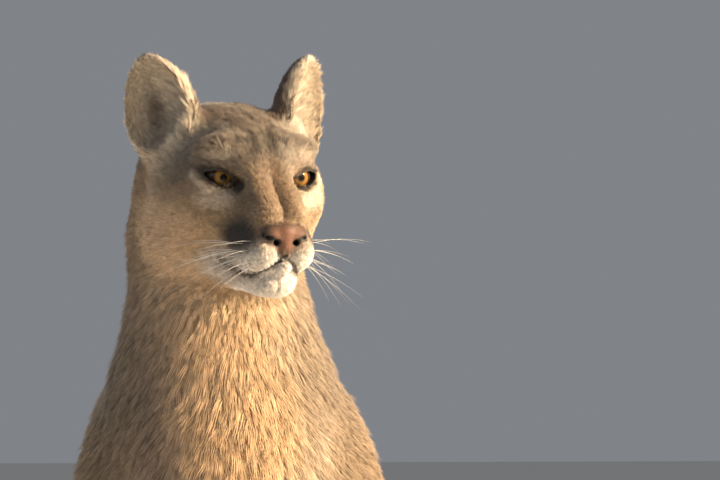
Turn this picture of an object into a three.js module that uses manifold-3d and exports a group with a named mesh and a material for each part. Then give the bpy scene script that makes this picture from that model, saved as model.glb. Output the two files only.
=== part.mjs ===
// A life-size cougar sitting upright on its haunches, head turned a little to its left.
// Millimetres. +X is the animal's left, -Y is ahead of it, +Z is up, and the floor is z = 0.
// The body is one smooth field of rounded bones and muscles, meshed once per part
// and divided by thin cuts where a person would name the parts.
import * as THREE from "three";
import { mergeVertices } from "three/addons/utils/BufferGeometryUtils.js";
import Module from "manifold-3d";

const wasm = await Module();
wasm.setup();

// Driving dimensions
const standShift = [-38.99, -116.65]; // moves the middle of the footprint to the origin
const cutGap = 0.3;
const eyeHeight = 822;
const eyeAhead = 232; // ahead of the hips' end of the chest
const eyeAside = 12; // the head leans to its left
const headYaw = 17; // degrees to its left
const headPitch = 3; // degrees nose down
const eyeRadius = 15;
const eyeApart = 35; // from the middle of the head
const eyeOutward = 16; // degrees that each eye faces out
const lidOpening = [31, 12.5, -13]; // width, height, slant of the inner corner in degrees
const lidThickness = 2.6;
const noseLean = 14; // degrees that the nose leather tips back
const nostrilSize = [5.6, 7, 2.7];
const nostrilAt = [11.5, -76, -51];
const nostrilSlant = -32; // degrees, the outer end up
const earRoot = [60, 62, 34];
const earTurn = [2, 18, 44]; // degrees tipped back, leaned out, opened out
const earOuter = [38, 22, 57];
const earInner = [31, 23, 47];
const earHollowBelow = 34; // how far the cup runs down from its middle
const lipRadius = 1.7;
const soleLevel = 0;

const rad = (degrees) => (degrees * Math.PI) / 180;
const mix = (a, b, t) => a + (b - a) * t;

// Distance to a rounded bone from a to b, its radius running from ra to rb, squeezed sideways by sx
const bone = (a, b, ra, rb, blend, sx = 1) => ({ kind: "bone", a, b, ra, rb, blend, sx });
// Distance to an ellipsoid, tipped about the left axis by tip degrees and about the up axis by turn degrees
const lump = (c, r, blend, tip = 0, turn = 0) => {
  const turned = new THREE.Matrix4().makeRotationFromEuler(new THREE.Euler(rad(tip), 0, rad(turn), "ZYX"));
  return { kind: "lump", c, r, blend, m: turned.clone().transpose().elements };
};

function boneDistance(p, s) {
  const ax = s.a[0] / s.sx;
  const bx = s.b[0] / s.sx - ax;
  const by = s.b[1] - s.a[1];
  const bz = s.b[2] - s.a[2];
  const px = p[0] / s.sx - ax;
  const py = p[1] - s.a[1];
  const pz = p[2] - s.a[2];
  const t = Math.min(1, Math.max(0, (px * bx + py * by + pz * bz) / (bx * bx + by * by + bz * bz)));
  return Math.hypot(px - bx * t, py - by * t, pz - bz * t) - mix(s.ra, s.rb, t);
}

function lumpDistance(p, s) {
  const x = p[0] - s.c[0];
  const y = p[1] - s.c[1];
  const z = p[2] - s.c[2];
  const m = s.m;
  const u = (m[0] * x + m[4] * y + m[8] * z) / s.r[0];
  const v = (m[1] * x + m[5] * y + m[9] * z) / s.r[1];
  const w = (m[2] * x + m[6] * y + m[10] * z) / s.r[2];
  const k0 = Math.hypot(u, v, w);
  const k1 = Math.hypot(u / s.r[0], v / s.r[1], w / s.r[2]);
  return k1 > 0 ? (k0 * (k0 - 1)) / k1 : -Math.min(...s.r);
}

const distance = (p, s) => (s.kind === "bone" ? boneDistance(p, s) : lumpDistance(p, s));

function softMin(a, b, k) {
  const h = Math.max(k - Math.abs(a - b), 0) / k;
  return Math.min(a, b) - (h * h * k) / 4;
}
const softMax = (a, b, k) => -softMin(-a, -b, k);

// Both sides of a shape: side is +1 on the animal's left
const mirror = (point, side) => [point[0] * side, point[1], point[2]];

// The trunk leans from the rump on the floor up to the shoulders
const trunk = [
  bone([0, 350, 97], [0, 262, 222], 108, 114, 30, 1.0),
  bone([0, 262, 222], [0, 158, 335], 114, 118, 40, 1.02),
  bone([0, 158, 335], [0, 40, 445], 118, 124, 40, 1.0),
  bone([0, 40, 445], [0, -38, 545], 126, 114, 60, 1.0),
  lump([0, -92, 455], [84, 72, 108], 50, 12), // breast
  lump([0, 60, 300], [84, 88, 110], 50, 30), // belly
];
const neckBones = [
  bone([-1, -38, 560], [-9, -64, 636], 110, 93, 45, 1.0),
  bone([-9, -64, 636], [-15, -98, 704], 93, 72, 40, 1.0),
  bone([-15, -98, 704], [-15, -124, 800], 72, 62, 35),
  lump([-6, -124, 590], [66, 52, 100], 50, -14), // throat
];

function shoulder(side) {
  const at = (x, y, z) => mirror([x, y, z], side);
  return [
    bone(at(62, 12, 590), at(92, -72, 470), 58, 62, 45), // shoulder blade
    bone(at(94, -76, 462), at(90, -30, 352), 60, 48, 35), // upper arm
  ];
}

function foreleg(side, ahead) {
  const at = (x, y, z) => mirror([x, y - ahead, z], side);
  return [
    bone(at(88, -34, 345), at(84, -62, 240), 47, 38, 30),
    bone(at(84, -62, 240), at(76, -92, 96), 38, 30, 20),
    bone(at(76, -92, 96), at(76, -104, 48), 31, 32, 20, 1.08),
  ];
}

// A paw: a pad of a body and four toes, each with its own swelling
function paw(x, heel, toeTip, width, side) {
  const middle = mix(heel, toeTip, 0.5);
  const parts = [lump(mirror([x, middle + 6, 22], side), [width * 0.47, (heel - toeTip) * 0.48, 30], 14)];
  const spread = [-0.36, -0.125, 0.125, 0.36];
  const reach = [16, 2, 0, 12];
  spread.forEach((s, i) => {
    const base = mirror([x + s * width * 0.85, toeTip + reach[i] + 44, 23], side);
    const tip = mirror([x + s * width, toeTip + reach[i] + 17, 11], side);
    parts.push(bone(base, tip, width * 0.15, width * 0.165, 7));
  });
  return parts;
}

function haunch(side) {
  const at = (x, y, z) => mirror([x, y, z], side);
  return [
    bone(at(72, 292, 186), at(110, 130, 232), 104, 72, 50, 0.88), // thigh
    bone(at(118, 100, 216), at(112, 180, 128), 52, 50, 30), // knee and shin
    bone(at(112, 180, 128), at(106, 292, 62), 50, 33, 30),
  ];
}

function hindFoot(side) {
  const at = (x, y, z) => mirror([x, y, z], side);
  return [
    bone(at(106, 292, 30), at(110, 200, 26), 33, 29, 18),
    bone(at(110, 200, 26), at(114, 90, 26), 29, 30, 14, 1.1),
  ];
}

// The tail leaves the rump, lies along the floor and curls round the left haunch
const tailPath = new THREE.CatmullRomCurve3(
  [
    [0, 408, 112],
    [2, 462, 66],
    [26, 500, 28],
    [90, 514, 23],
    [160, 480, 23],
    [206, 400, 23],
    [224, 300, 22],
    [226, 200, 22],
    [214, 115, 22],
    [198, 56, 21],
  ].map((p) => new THREE.Vector3(...p)),
  false,
  "catmullrom",
  0.5,
);
const tailSteps = 36;
const tailSides = 10;
const tailRadius = (t) => {
  const roundTip = Math.sqrt(1 - Math.max(0, (t - 0.93) / 0.072) ** 2);
  return mix(38, 25, Math.min(1, t * 4)) * roundTip;
};
const tailRoot = Array.from({ length: 4 }, (_, i) => {
  const t = i / tailSteps;
  const u = (i + 1) / tailSteps;
  const start = tailPath.getPointAt(t).toArray();
  const end = tailPath.getPointAt(u).toArray();
  return bone(start, end, tailRadius(t), tailRadius(u), 16);
});

// The head in its own frame: the origin is midway between the eyes, -Y is ahead
const headTurn = new THREE.Matrix4()
  .makeRotationZ(rad(headYaw))
  .multiply(new THREE.Matrix4().makeRotationX(rad(headPitch)));
const headPlace = new THREE.Matrix4().makeTranslation(eyeAside, -eyeAhead, eyeHeight).multiply(headTurn);
const toHead = headPlace.clone().invert().elements;
function headPoint(p) {
  const m = toHead;
  return [
    m[0] * p[0] + m[4] * p[1] + m[8] * p[2] + m[12],
    m[1] * p[0] + m[5] * p[1] + m[9] * p[2] + m[13],
    m[2] * p[0] + m[6] * p[1] + m[10] * p[2] + m[14],
  ];
}

// Each of these is also mirrored to the other side
const skull = [
  lump([0, 58, 0], [62, 92, 58], 20), // brain case
  bone([12, 92, -6], [6, 136, -52], 57, 58, 40), // nape
  lump([30, 3, 24], [27, 21, 13], 15, -16), // brow
  bone([12, -4, 8], [10, -58, -33], 19, 14, 14), // bridge of the nose
  bone([12, 12, -24], [12, -36, -54], 38, 23, 18), // upper jaw
  lump([15.5, -48, -62], [18, 29, 20], 9), // whisker pad
  bone([14, 30, -66], [9, -34, -86], 34, 16, 14), // lower jaw
  lump([0, -46, -91], [19, 18, 13], 8), // chin
  lump([44, 24, -20], [24, 38, 32], 24), // cheekbone
  lump([38, 66, -44], [34, 46, 42], 26), // jaw muscle
];

const nosePad = lump([0, -68, -48], [20, 10, 13], 5, 12);
const noseEdge = lump([0, -76, -49], [20, 11, 15], 1, noseLean);

function headDistance(h) {
  const q = [Math.abs(h[0]), h[1], h[2]];
  let d = 1e6;
  for (const s of skull) d = softMin(d, distance(q, s), s.blend);
  d = softMin(d, distance(q, nosePad), nosePad.blend);
  // the corner between the eye and the bridge of the nose
  const dip = Math.hypot((q[0] - 27) / 1.2, (q[1] + 24) / 1.4, q[2] + 6) - 5;
  d = softMax(d, -dip, 12);
  return d;
}

// An ear: a cup that opens ahead and outward
function earPlace(side) {
  const [tipped, leaned, opened] = earTurn.map(rad);
  const turn = new THREE.Euler(tipped, side * leaned, side * opened, "ZYX");
  return new THREE.Matrix4()
    .makeTranslation(side * earRoot[0], earRoot[1], earRoot[2])
    .multiply(new THREE.Matrix4().makeRotationFromEuler(turn));
}
const earFrames = [1, -1].map((side) => earPlace(side).invert().elements);
function earDistance(h) {
  const m = earFrames[h[0] > 0 ? 0 : 1];
  const x = m[0] * h[0] + m[4] * h[1] + m[8] * h[2] + m[12];
  const y = m[1] * h[0] + m[5] * h[1] + m[9] * h[2] + m[13];
  const z = m[2] * h[0] + m[6] * h[1] + m[10] * h[2] + m[14];
  const narrow = 1 - 0.16 * Math.max(0, (z - 10) / 60);
  const outer = (Math.hypot(x / (earOuter[0] * narrow), y / earOuter[1], (z - 18) / earOuter[2]) - 1) * 21;
  const tall = z > 22 ? earInner[2] : earHollowBelow;
  const inner = Math.hypot(x / (earInner[0] * narrow), (y + 12) / earInner[1], (z - 22) / tall) - 1;
  return softMax(outer, -inner * 20, 4);
}

const groups = [
  trunk,
  neckBones,
  shoulder(1),
  shoulder(-1),
  foreleg(1, 8),
  foreleg(-1, -6),
  paw(76, -62 - 8, -176 - 8, 84, 1),
  paw(76, -62 + 6, -176 + 6, 84, -1),
  haunch(1),
  haunch(-1),
  hindFoot(1),
  hindFoot(-1),
  paw(115, 120, 6, 80, 1),
  paw(115, 120, 6, 80, -1),
  tailRoot,
];

function bodyDistance(p) {
  let d = 1e6;
  for (const g of groups) for (const s of g) d = softMin(d, distance(p, s), s.blend);
  const h = headPoint(p);
  d = softMin(d, headDistance(h), 34);
  return softMin(d, earDistance(h), 10);
}

// Fills the corners of cells that two sheets of the surface would share, so that it stays a simple closed one
function settleDoubts(value, n, id) {
  const faces = [
    [0, 1, 3, 2],
    [4, 5, 7, 6],
    [0, 1, 5, 4],
    [2, 3, 7, 6],
    [0, 2, 6, 4],
    [1, 3, 7, 5],
  ];
  const fill = (ids) => {
    const open = ids.filter((x) => value[x] >= 0).sort((a, b) => value[a] - value[b]);
    value[open[0]] = -1e-3;
  };
  for (let changed = true; changed; ) {
    changed = false;
    for (let k = 0; k + 1 < n[2]; k++)
      for (let j = 0; j + 1 < n[1]; j++)
        for (let i = 0; i + 1 < n[0]; i++) {
          const ids = [0, 1, 2, 3, 4, 5, 6, 7].map((c) => id(i + (c & 1), j + ((c >> 1) & 1), k + (c >> 2)));
          const inside = ids.filter((x) => value[x] < 0).length;
          if (inside < 2 || inside === 8) continue;
          for (const f of faces) {
            const s = f.map((c) => value[ids[c]] < 0);
            if (s[0] === s[2] && s[1] === s[3] && s[0] !== s[1]) {
              fill(f.map((c) => ids[c]));
              changed = true;
            }
          }
          for (let c = 0; c < 4; c++) {
            const pair = value[ids[c]] < 0 === value[ids[7 - c]] < 0;
            const others = [0, 1, 2, 3, 4, 5, 6, 7].filter((x) => x !== c && x !== 7 - c);
            if (pair && others.every((x) => value[ids[x]] < 0 !== value[ids[c]] < 0)) {
              fill(ids);
              changed = true;
            }
          }
        }
  }
}

// A closed surface where the field is zero, inside a box, with cells of one size
// or of [x, y, z] sizes. Past `back` along y the cells are twice as long.
function surfaceOf(field, low, high, size, back = 1e6) {
  const cell = Array.isArray(size) ? size : [size, size, size];
  const ticks = [0, 1, 2].map((axis) => {
    const marks = [low[axis] - cell[axis]];
    while (marks[marks.length - 1] < high[axis] + cell[axis]) {
      const last = marks[marks.length - 1];
      marks.push(last + cell[axis] * (axis === 1 && last > back ? 2 : 1));
    }
    return marks;
  });
  const n = ticks.map((marks) => marks.length);
  const at = (i, j, k) => [ticks[0][i], ticks[1][j], ticks[2][k]];
  const id = (i, j, k) => (k * n[1] + j) * n[0] + i;
  const value = new Float32Array(n[0] * n[1] * n[2]);
  for (let k = 0; k < n[2]; k++)
    for (let j = 0; j < n[1]; j++)
      for (let i = 0; i < n[0]; i++) {
        const rim = i === 0 || j === 0 || k === 0 || i === n[0] - 1 || j === n[1] - 1 || k === n[2] - 1;
        value[id(i, j, k)] = rim ? cell[0] : field(at(i, j, k));
      }
  const corners = [0, 1, 2, 3, 4, 5, 6, 7].map((c) => [c & 1, (c >> 1) & 1, c >> 2]);
  settleDoubts(value, n, id);
  const index = new Int32Array(value.length).fill(-1);
  const points = [];
  for (let k = 0; k + 1 < n[2]; k++)
    for (let j = 0; j + 1 < n[1]; j++)
      for (let i = 0; i + 1 < n[0]; i++) {
        const v = corners.map((c) => value[id(i + c[0], j + c[1], k + c[2])]);
        const inside = v.filter((x) => x < 0).length;
        if (inside === 0 || inside === 8) continue;
        const sum = [0, 0, 0];
        let count = 0;
        for (let a = 0; a < 8; a++)
          for (const bit of [1, 2, 4]) {
            const b = a | bit;
            if (b === a || v[a] < 0 === v[b] < 0) continue;
            const t = v[a] / (v[a] - v[b]);
            for (let axis = 0; axis < 3; axis++) sum[axis] += mix(corners[a][axis], corners[b][axis], t);
            count++;
          }
        index[id(i, j, k)] = points.length;
        const far = at(i + 1, j + 1, k + 1);
        points.push(at(i, j, k).map((x, axis) => mix(x, far[axis], sum[axis] / count)));
      }
  const triangles = [];
  const span = (a, b) => Math.hypot(...points[a].map((x, axis) => x - points[b][axis]));
  const quad = (a, b, c, d, flip) => {
    const ring = flip ? [a, d, c, b] : [a, b, c, d];
    if (span(ring[0], ring[2]) < span(ring[1], ring[3]))
      triangles.push(ring[0], ring[1], ring[2], ring[0], ring[2], ring[3]);
    else triangles.push(ring[1], ring[2], ring[3], ring[1], ring[3], ring[0]);
  };
  for (let k = 0; k + 1 < n[2]; k++)
    for (let j = 0; j + 1 < n[1]; j++)
      for (let i = 0; i + 1 < n[0]; i++) {
        const here = value[id(i, j, k)] < 0;
        const spot = (x, y, z) => index[id(i - x, j - y, k - z)];
        if (j && k && here !== value[id(i + 1, j, k)] < 0)
          quad(spot(0, 1, 1), spot(0, 0, 1), spot(0, 0, 0), spot(0, 1, 0), !here);
        if (i && k && here !== value[id(i, j + 1, k)] < 0)
          quad(spot(1, 0, 1), spot(1, 0, 0), spot(0, 0, 0), spot(0, 0, 1), !here);
        if (i && j && here !== value[id(i, j, k + 1)] < 0)
          quad(spot(1, 1, 0), spot(0, 1, 0), spot(0, 0, 0), spot(1, 0, 0), !here);
      }
  return solid(points.flat(), triangles);
}

function solid(positions, triangles) {
  return new wasm.Manifold(
    new wasm.Mesh({
      numProp: 3,
      vertProperties: new Float32Array(positions),
      triVerts: new Uint32Array(triangles),
    }),
  );
}

// A closed three.js geometry, placed by a matrix, as a solid
function solidOf(geometry, matrix = new THREE.Matrix4()) {
  const g = geometry.clone();
  g.deleteAttribute("normal");
  g.deleteAttribute("uv");
  const merged = mergeVertices(g.applyMatrix4(matrix), 1e-4);
  return solid(merged.attributes.position.array, merged.index.array);
}

// Cutting shapes, each grown by a margin for the gap
const boxCut = (low, high) => (grow) => {
  const size = high.map((x, k) => x - low[k] + 2 * grow);
  const middle = high.map((x, k) => (x + low[k]) / 2);
  return solidOf(new THREE.BoxGeometry(...size), new THREE.Matrix4().makeTranslation(...middle));
};
// A half of space ahead of a plane, as a big box: centre of the face, the direction it faces away from
const halfCut = (point, direction, reach = 420, depth = 600) => (grow) => {
  const facing = new THREE.Quaternion().setFromUnitVectors(
    new THREE.Vector3(0, 0, 1),
    new THREE.Vector3(...direction).normalize(),
  );
  const place = new THREE.Matrix4()
    .makeTranslation(...point)
    .multiply(new THREE.Matrix4().makeRotationFromQuaternion(facing))
    .multiply(new THREE.Matrix4().makeTranslation(0, 0, depth / 2 - grow));
  return solidOf(new THREE.BoxGeometry(reach * 2, reach * 2, depth), place);
};
const inHead = (cut) => (grow) => cut(grow).transform(headPlace.elements);
const ovalCut = (c, ry, rz, tip, xFrom, xTo) => (grow) => {
  const g = new THREE.CylinderGeometry(1, 1, Math.abs(xTo - xFrom) + 2 * grow, 40).rotateZ(Math.PI / 2);
  g.scale(1, ry + grow, rz + grow);
  g.rotateX(rad(tip));
  g.translate((xFrom + xTo) / 2, c[0], c[1]);
  return solidOf(g);
};

// A tube round a path, its radius given along it, kept above the floor
function tube(points, radii, count, floor = -1e6) {
  const rings = [];
  const up = new THREE.Vector3(0, 0, 1);
  points.forEach((p, i) => {
    const before = points[Math.max(0, i - 1)];
    const after = points[Math.min(points.length - 1, i + 1)];
    const along = after.clone().sub(before).normalize();
    const side = along.clone().cross(up).normalize();
    const rise = side.clone().cross(along);
    for (let k = 0; k < count; k++) {
      const a = (2 * Math.PI * k) / count;
      const at = p.clone().addScaledVector(side, radii[i] * Math.cos(a));
      at.addScaledVector(rise, radii[i] * Math.sin(a));
      rings.push(at.x, at.y, Math.max(at.z, floor));
    }
  });
  const last = points.length - 1;
  const first = rings.length / 3;
  rings.push(points[0].x, points[0].y, points[0].z, points[last].x, points[last].y, points[last].z);
  const triangles = [];
  for (let i = 0; i < last; i++)
    for (let k = 0; k < count; k++) {
      const [a, b] = [i * count + k, i * count + ((k + 1) % count)];
      triangles.push(a, b + count, b, a, a + count, b + count);
    }
  for (let k = 0; k < count; k++) {
    const next = (k + 1) % count;
    triangles.push(first, k, next, first + 1, last * count + next, last * count + k);
  }
  return solid(rings, triangles);
}

// Moves a point in the head's frame onto the head's surface, sunk by a depth
function ontoHead(p, depth) {
  let q = [...p];
  for (let step = 0; step < 6; step++) {
    const d = headDistance(q) + depth;
    const slope = [0, 1, 2].map((k) => {
      const moved = [...q];
      moved[k] += 0.5;
      return (headDistance(moved) + depth - d) / 0.5;
    });
    const steep = slope.reduce((sum, x) => sum + x * x, 1e-6);
    q = q.map((x, k) => x - (d * slope[k]) / steep);
  }
  return q;
}

const underFloor = boxCut([-600, -700, -200], [600, 700, soleLevel]);
const neckFoot = halfCut([0, -60, 622], [0, -0.42, 0.9]);
const headBack = inHead(halfCut([0, 76, -42], [0, -0.62, 0.78], 300, 400));
const earFoot = (side) => inHead(halfCut([side * 54, 60, 44], [side * 0.42, 0, 0.9], 60, 120));
const legTop = (side) => boxCut([side > 0 ? 8 : -190, -260, 92], [side > 0 ? 190 : -8, 16, 322]);
const pawTop = (side) => boxCut([side > 0 ? 8 : -190, -260, -20], [side > 0 ? 190 : -8, -30, 92 - cutGap]);
const haunchSide = (side) => ovalCut([196, 186], 196, 122, -12, side * 66, side * 240);
const footTop = (side) => boxCut([side > 0 ? 52 : -190, -29, -20], [side > 0 ? 190 : -52, 345, 58]);
const tailStart = halfCut([2, 462, 66], [0, 0.76, -0.65], 90, 160);
const tailBend = boxCut([20, 440, -20], [230, 620, 120]);
const tailBack = (grow) => tailStart(grow).add(tailBend(grow));

function largest(made) {
  return made.decompose().sort((a, b) => b.volume() - a.volume())[0];
}

function part(low, high, cell, keep, without) {
  let made = surfaceOf(bodyDistance, low, high, cell);
  for (const cut of keep) made = made.intersect(cut(0));
  for (const cut of without) made = made.subtract(cut(cutGap));
  return largest(made.subtract(underFloor(0)));
}

const furColour = { body: 0x9a7a52, nose: 0xa06a4c, eye: 0xb07a2c, tail: 0x8a6a46, ear: 0x8a6f4e };
const object = new THREE.Group();
function add(name, made, colour, roughness = 0.9) {
  const mesh = made.getMesh();
  const g = new THREE.BufferGeometry();
  const v = new Float32Array(mesh.numVert * 3);
  for (let i = 0; i < mesh.numVert; i++) {
    const from = i * mesh.numProp;
    v.set(mesh.vertProperties.subarray(from, from + 3), i * 3);
  }
  g.setAttribute("position", new THREE.BufferAttribute(v, 3));
  g.setIndex(new THREE.BufferAttribute(new Uint32Array(mesh.triVerts), 1));
  const node = new THREE.Mesh(g, new THREE.MeshStandardMaterial({ color: colour, roughness, metalness: 0 }));
  node.name = name;
  object.add(node);
}

const sides = [
  ["left", 1],
  ["right", -1],
];

// The eyeball, the round lid over it and the almond that the lids leave open
const eyePlace = (side) =>
  headPlace.clone().multiply(
    new THREE.Matrix4()
      .makeTranslation(side * eyeApart, 0, 0)
      .multiply(new THREE.Matrix4().makeRotationZ(side * rad(eyeOutward))),
  );
function ballOf(side, radius) {
  const ball = new THREE.SphereGeometry(radius, 14, 9);
  return solidOf(ball, eyePlace(side));
}
function almondOf(side) {
  const [width, height, slant] = lidOpening;
  const shape = new THREE.Shape();
  shape.moveTo(-width / 2, 0);
  shape.quadraticCurveTo(0, height, width / 2, 0);
  shape.quadraticCurveTo(0, -height, -width / 2, 0);
  const prism = new THREE.ExtrudeGeometry(shape, { depth: 60, bevelEnabled: false, curveSegments: 8 });
  prism.rotateZ(rad(slant) * -side);
  prism.rotateX(Math.PI / 2);
  return solidOf(prism, eyePlace(side));
}

// The mouth line runs back along both sides from under the nose, and up to it in the middle
function mouthOf() {
  const line = [
    [37, -8, -73],
    [33, -26, -80],
    [24, -46, -83],
    [12, -68, -80],
    [0, -76, -73],
  ];
  const whole = [...line, ...line.slice(0, -1).reverse().map(([x, y, z]) => [-x, y, z])];
  const sunk = (p, depth) => new THREE.Vector3(...ontoHead(p, depth));
  const curve = new THREE.CatmullRomCurve3(whole.map((p) => sunk(p, 0.5)));
  const steps = 28;
  const points = Array.from({ length: steps + 1 }, (_, i) => sunk(curve.getPoint(i / steps).toArray(), 0.6));
  const taper = (i) => Math.min(1, 0.3 + (Math.min(i, steps - i) / 4) * 0.7);
  const lips = tube(points, points.map((_, i) => lipRadius * taper(i)), 6);
  const split = [
    [0, -78, -62],
    [0, -78, -67],
    [0, -76, -73],
  ];
  const groove = split.map((p) => sunk(p, 0.4));
  return lips.add(tube(groove, [lipRadius - 0.1, lipRadius, lipRadius], 6));
}

function nostrilOf(side) {
  const g = new THREE.SphereGeometry(1, 8, 6).scale(...nostrilSize);
  g.rotateY(side * rad(nostrilSlant));
  g.translate(side * nostrilAt[0], nostrilAt[1], nostrilAt[2]);
  return solidOf(g);
}

// Head, with eyes, nose and ears of their own
let head = surfaceOf(bodyDistance, [-100, -370, 650], [170, -40, 960], [7.8, 6.8, 7.2], -235);
head = head.intersect(headBack(0));
for (const [, side] of sides) {
  head = head.subtract(earFoot(side)(cutGap));
  head = head.add(ballOf(side, eyeRadius + lidThickness));
}
head = head.subtract(mouthOf().transform(headPlace.elements));
for (const [label, side] of sides) {
  const ear = part([-110, -330, 800], [180, -40, 960], [7.4, 7, 7.6], [earFoot(side), headBack], []);
  add("ear_" + label, ear, furColour.ear);
  add("eye_" + label, ballOf(side, eyeRadius), furColour.eye, 0.1);
  head = head.subtract(almondOf(side)).subtract(ballOf(side, eyeRadius + cutGap));
}
const noseCut = (grow) => {
  const g = new THREE.SphereGeometry(1, 16, 10).scale(...noseEdge.r.map((x) => x + grow));
  return solidOf(g.rotateX(rad(noseLean)).translate(...noseEdge.c), headPlace);
};
let nose = head.intersect(noseCut(0));
for (const [, side] of sides) nose = nose.subtract(nostrilOf(side).transform(headPlace.elements));
add("nose", largest(nose), furColour.nose, 0.5);
add("head", largest(head.subtract(noseCut(cutGap))), furColour.body);

add("neck", part([-170, -330, 540], [170, 170, 880], [24, 24, 36], [neckFoot], [headBack]), furColour.body);

const legCuts = sides.flatMap(([, side]) => [legTop(side), pawTop(side), haunchSide(side), footTop(side)]);
const torso = part([-170, -230, -10], [170, 560, 700], [36, 40, 44], [], [neckFoot, ...legCuts, tailBack]);
add("torso", torso, furColour.body);
for (const [label, side] of sides) {
  const left = side > 0;
  const span = (from, to, y, z) => [
    [left ? from : -to, y[0], z[0]],
    [left ? to : -from, y[1], z[1]],
  ];
  const body = furColour.body;
  const leg = part(...span(0, 170, [-220, 60], [70, 350]), [17, 17, 40], [legTop(side)], []);
  add("foreleg_" + label, leg, body);
  const forepaw = part(...span(0, 170, [-230, 0], [-10, 120]), [11, 15, 13.5], [pawTop(side)], []);
  add("forepaw_" + label, forepaw, body);
  const haunchSpan = span(30, 230, [-40, 430], [-10, 340]);
  const thigh = part(...haunchSpan, [24, 31, 31], [haunchSide(side)], [footTop(side), legTop(side)]);
  add("haunch_" + label, thigh, body);
  const hindfoot = part(...span(40, 230, [-50, 350], [-10, 90]), [12.5, 22, 15], [footTop(side)], []);
  add("hindfoot_" + label, hindfoot, body);
}
const tailPoints = Array.from({ length: tailSteps + 1 }, (_, i) => tailPath.getPointAt(i / tailSteps));
const tailRadii = tailPoints.map((_, i) => Math.max(2, tailRadius(i / tailSteps)));
const tail = tube(tailPoints, tailRadii, tailSides, soleLevel);
// The tail is named in three lengths
const tailMiddle = boxCut([165, 150, -20], [300, 478, 120]);
const tailEnd = boxCut([150, -40, -20], [300, 150 - cutGap, 120]);
add("tail_base", largest(tail.intersect(tailBack(0)).subtract(tailMiddle(cutGap))), furColour.tail);
add("tail_middle", largest(tail.intersect(tailMiddle(0))), furColour.tail);
add("tail_tip", largest(tail.intersect(tailEnd(0))), furColour.tail);

object.children.forEach((mesh) => mesh.position.set(standShift[0], standShift[1], 0));
export default object;
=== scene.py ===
import math
import random
import bpy
import numpy as np
from mathutils import Matrix, Vector


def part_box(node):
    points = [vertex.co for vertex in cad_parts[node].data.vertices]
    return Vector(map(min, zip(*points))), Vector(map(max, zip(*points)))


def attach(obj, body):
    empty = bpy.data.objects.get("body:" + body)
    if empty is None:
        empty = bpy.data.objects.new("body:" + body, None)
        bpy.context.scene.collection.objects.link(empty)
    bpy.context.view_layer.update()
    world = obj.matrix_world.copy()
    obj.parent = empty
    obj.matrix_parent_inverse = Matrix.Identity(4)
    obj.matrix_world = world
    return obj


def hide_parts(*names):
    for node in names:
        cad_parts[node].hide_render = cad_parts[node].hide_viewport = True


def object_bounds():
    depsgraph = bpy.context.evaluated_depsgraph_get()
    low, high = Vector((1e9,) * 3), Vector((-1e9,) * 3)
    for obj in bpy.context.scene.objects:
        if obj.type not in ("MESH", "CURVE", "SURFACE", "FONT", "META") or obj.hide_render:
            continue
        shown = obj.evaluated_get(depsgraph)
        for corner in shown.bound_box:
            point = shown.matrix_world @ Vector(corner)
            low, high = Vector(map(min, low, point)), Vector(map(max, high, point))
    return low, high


# A sitting cougar: one skin over the whole body, a coat of small tufts on it, eyes and whiskers.
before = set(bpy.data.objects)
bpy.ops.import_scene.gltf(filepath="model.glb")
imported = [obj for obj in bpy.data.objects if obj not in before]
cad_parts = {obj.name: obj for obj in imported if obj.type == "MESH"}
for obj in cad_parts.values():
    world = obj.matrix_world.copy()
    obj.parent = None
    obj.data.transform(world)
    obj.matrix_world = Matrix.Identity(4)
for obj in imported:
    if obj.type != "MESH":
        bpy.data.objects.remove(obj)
cadLow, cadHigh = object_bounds()
mm = 0.001
print("frame loaded")


# where the CAD stands: the body plan below is in millimetres from the animal's own middle
def middleOf(node):
    low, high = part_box(node)
    return (low + high) / 2


eyeLeft = middleOf("eye_left") / mm
eyeRight = middleOf("eye_right") / mm
eyeMiddle = (eyeLeft + eyeRight) / 2
across = (eyeLeft - eyeRight).normalized()
plan = {
    "eyePlace": Vector((12, -232, 822)),  # midway between the eyes, in the body plan
    "headPitch": 3,  # degrees nose down
    "eyeApart": (eyeLeft - eyeRight).length / 2,
    "eyeRadius": 15,
    "eyeOutward": 16,  # degrees each lid opening faces out
    "lidOpening": (31, 12.0, 14),  # width, height, slant in degrees
    "lidThickness": 2.2,
    "lidShares": (0.42, 0.58),  # of the opening above and below its middle line
    "lidDepth": 5,  # the lids are cut from this far ahead of the eye's middle
    "headBlend": 34,
    "earBlend": 10,
}
standShift = eyeMiddle - plan["eyePlace"]
headYaw = math.atan2(across.y, across.x)
headNod = Matrix.Rotation(math.radians(plan["headPitch"]), 3, "X")
headTurn = np.array(Matrix.Rotation(headYaw, 3, "Z") @ headNod)


# distances to simple shapes, on whole arrays of points
def softMin(a, b, k):
    h = np.maximum(k - np.abs(a - b), 0) / k
    return np.minimum(a, b) - h * h * k / 4


def softMax(a, b, k):
    return -softMin(-a, -b, k)


# a tapered rod from a to b; its width across is multiplied by squeeze
def rod(a, b, ra, rb, squeeze=1.0):
    return {"a": a, "b": b, "ra": ra, "rb": rb, "squeeze": squeeze}


def bone(a, b, ra, rb, blend, squeeze=1.0):
    reach = max(ra, rb) * max(1, squeeze) + blend
    low = np.minimum(a, b) - reach
    high = np.maximum(a, b) + reach
    return {**rod(a, b, ra, rb, squeeze), "blend": blend, "low": low, "high": high}


def lump(centre, radii, blend, tip=0.0):
    reach = max(radii) + blend
    low = np.array(centre) - reach
    high = np.array(centre) + reach
    c, s = math.cos(math.radians(tip)), math.sin(math.radians(tip))
    return {"centre": centre, "radii": radii, "blend": blend, "tip": (c, s), "low": low, "high": high}


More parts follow.
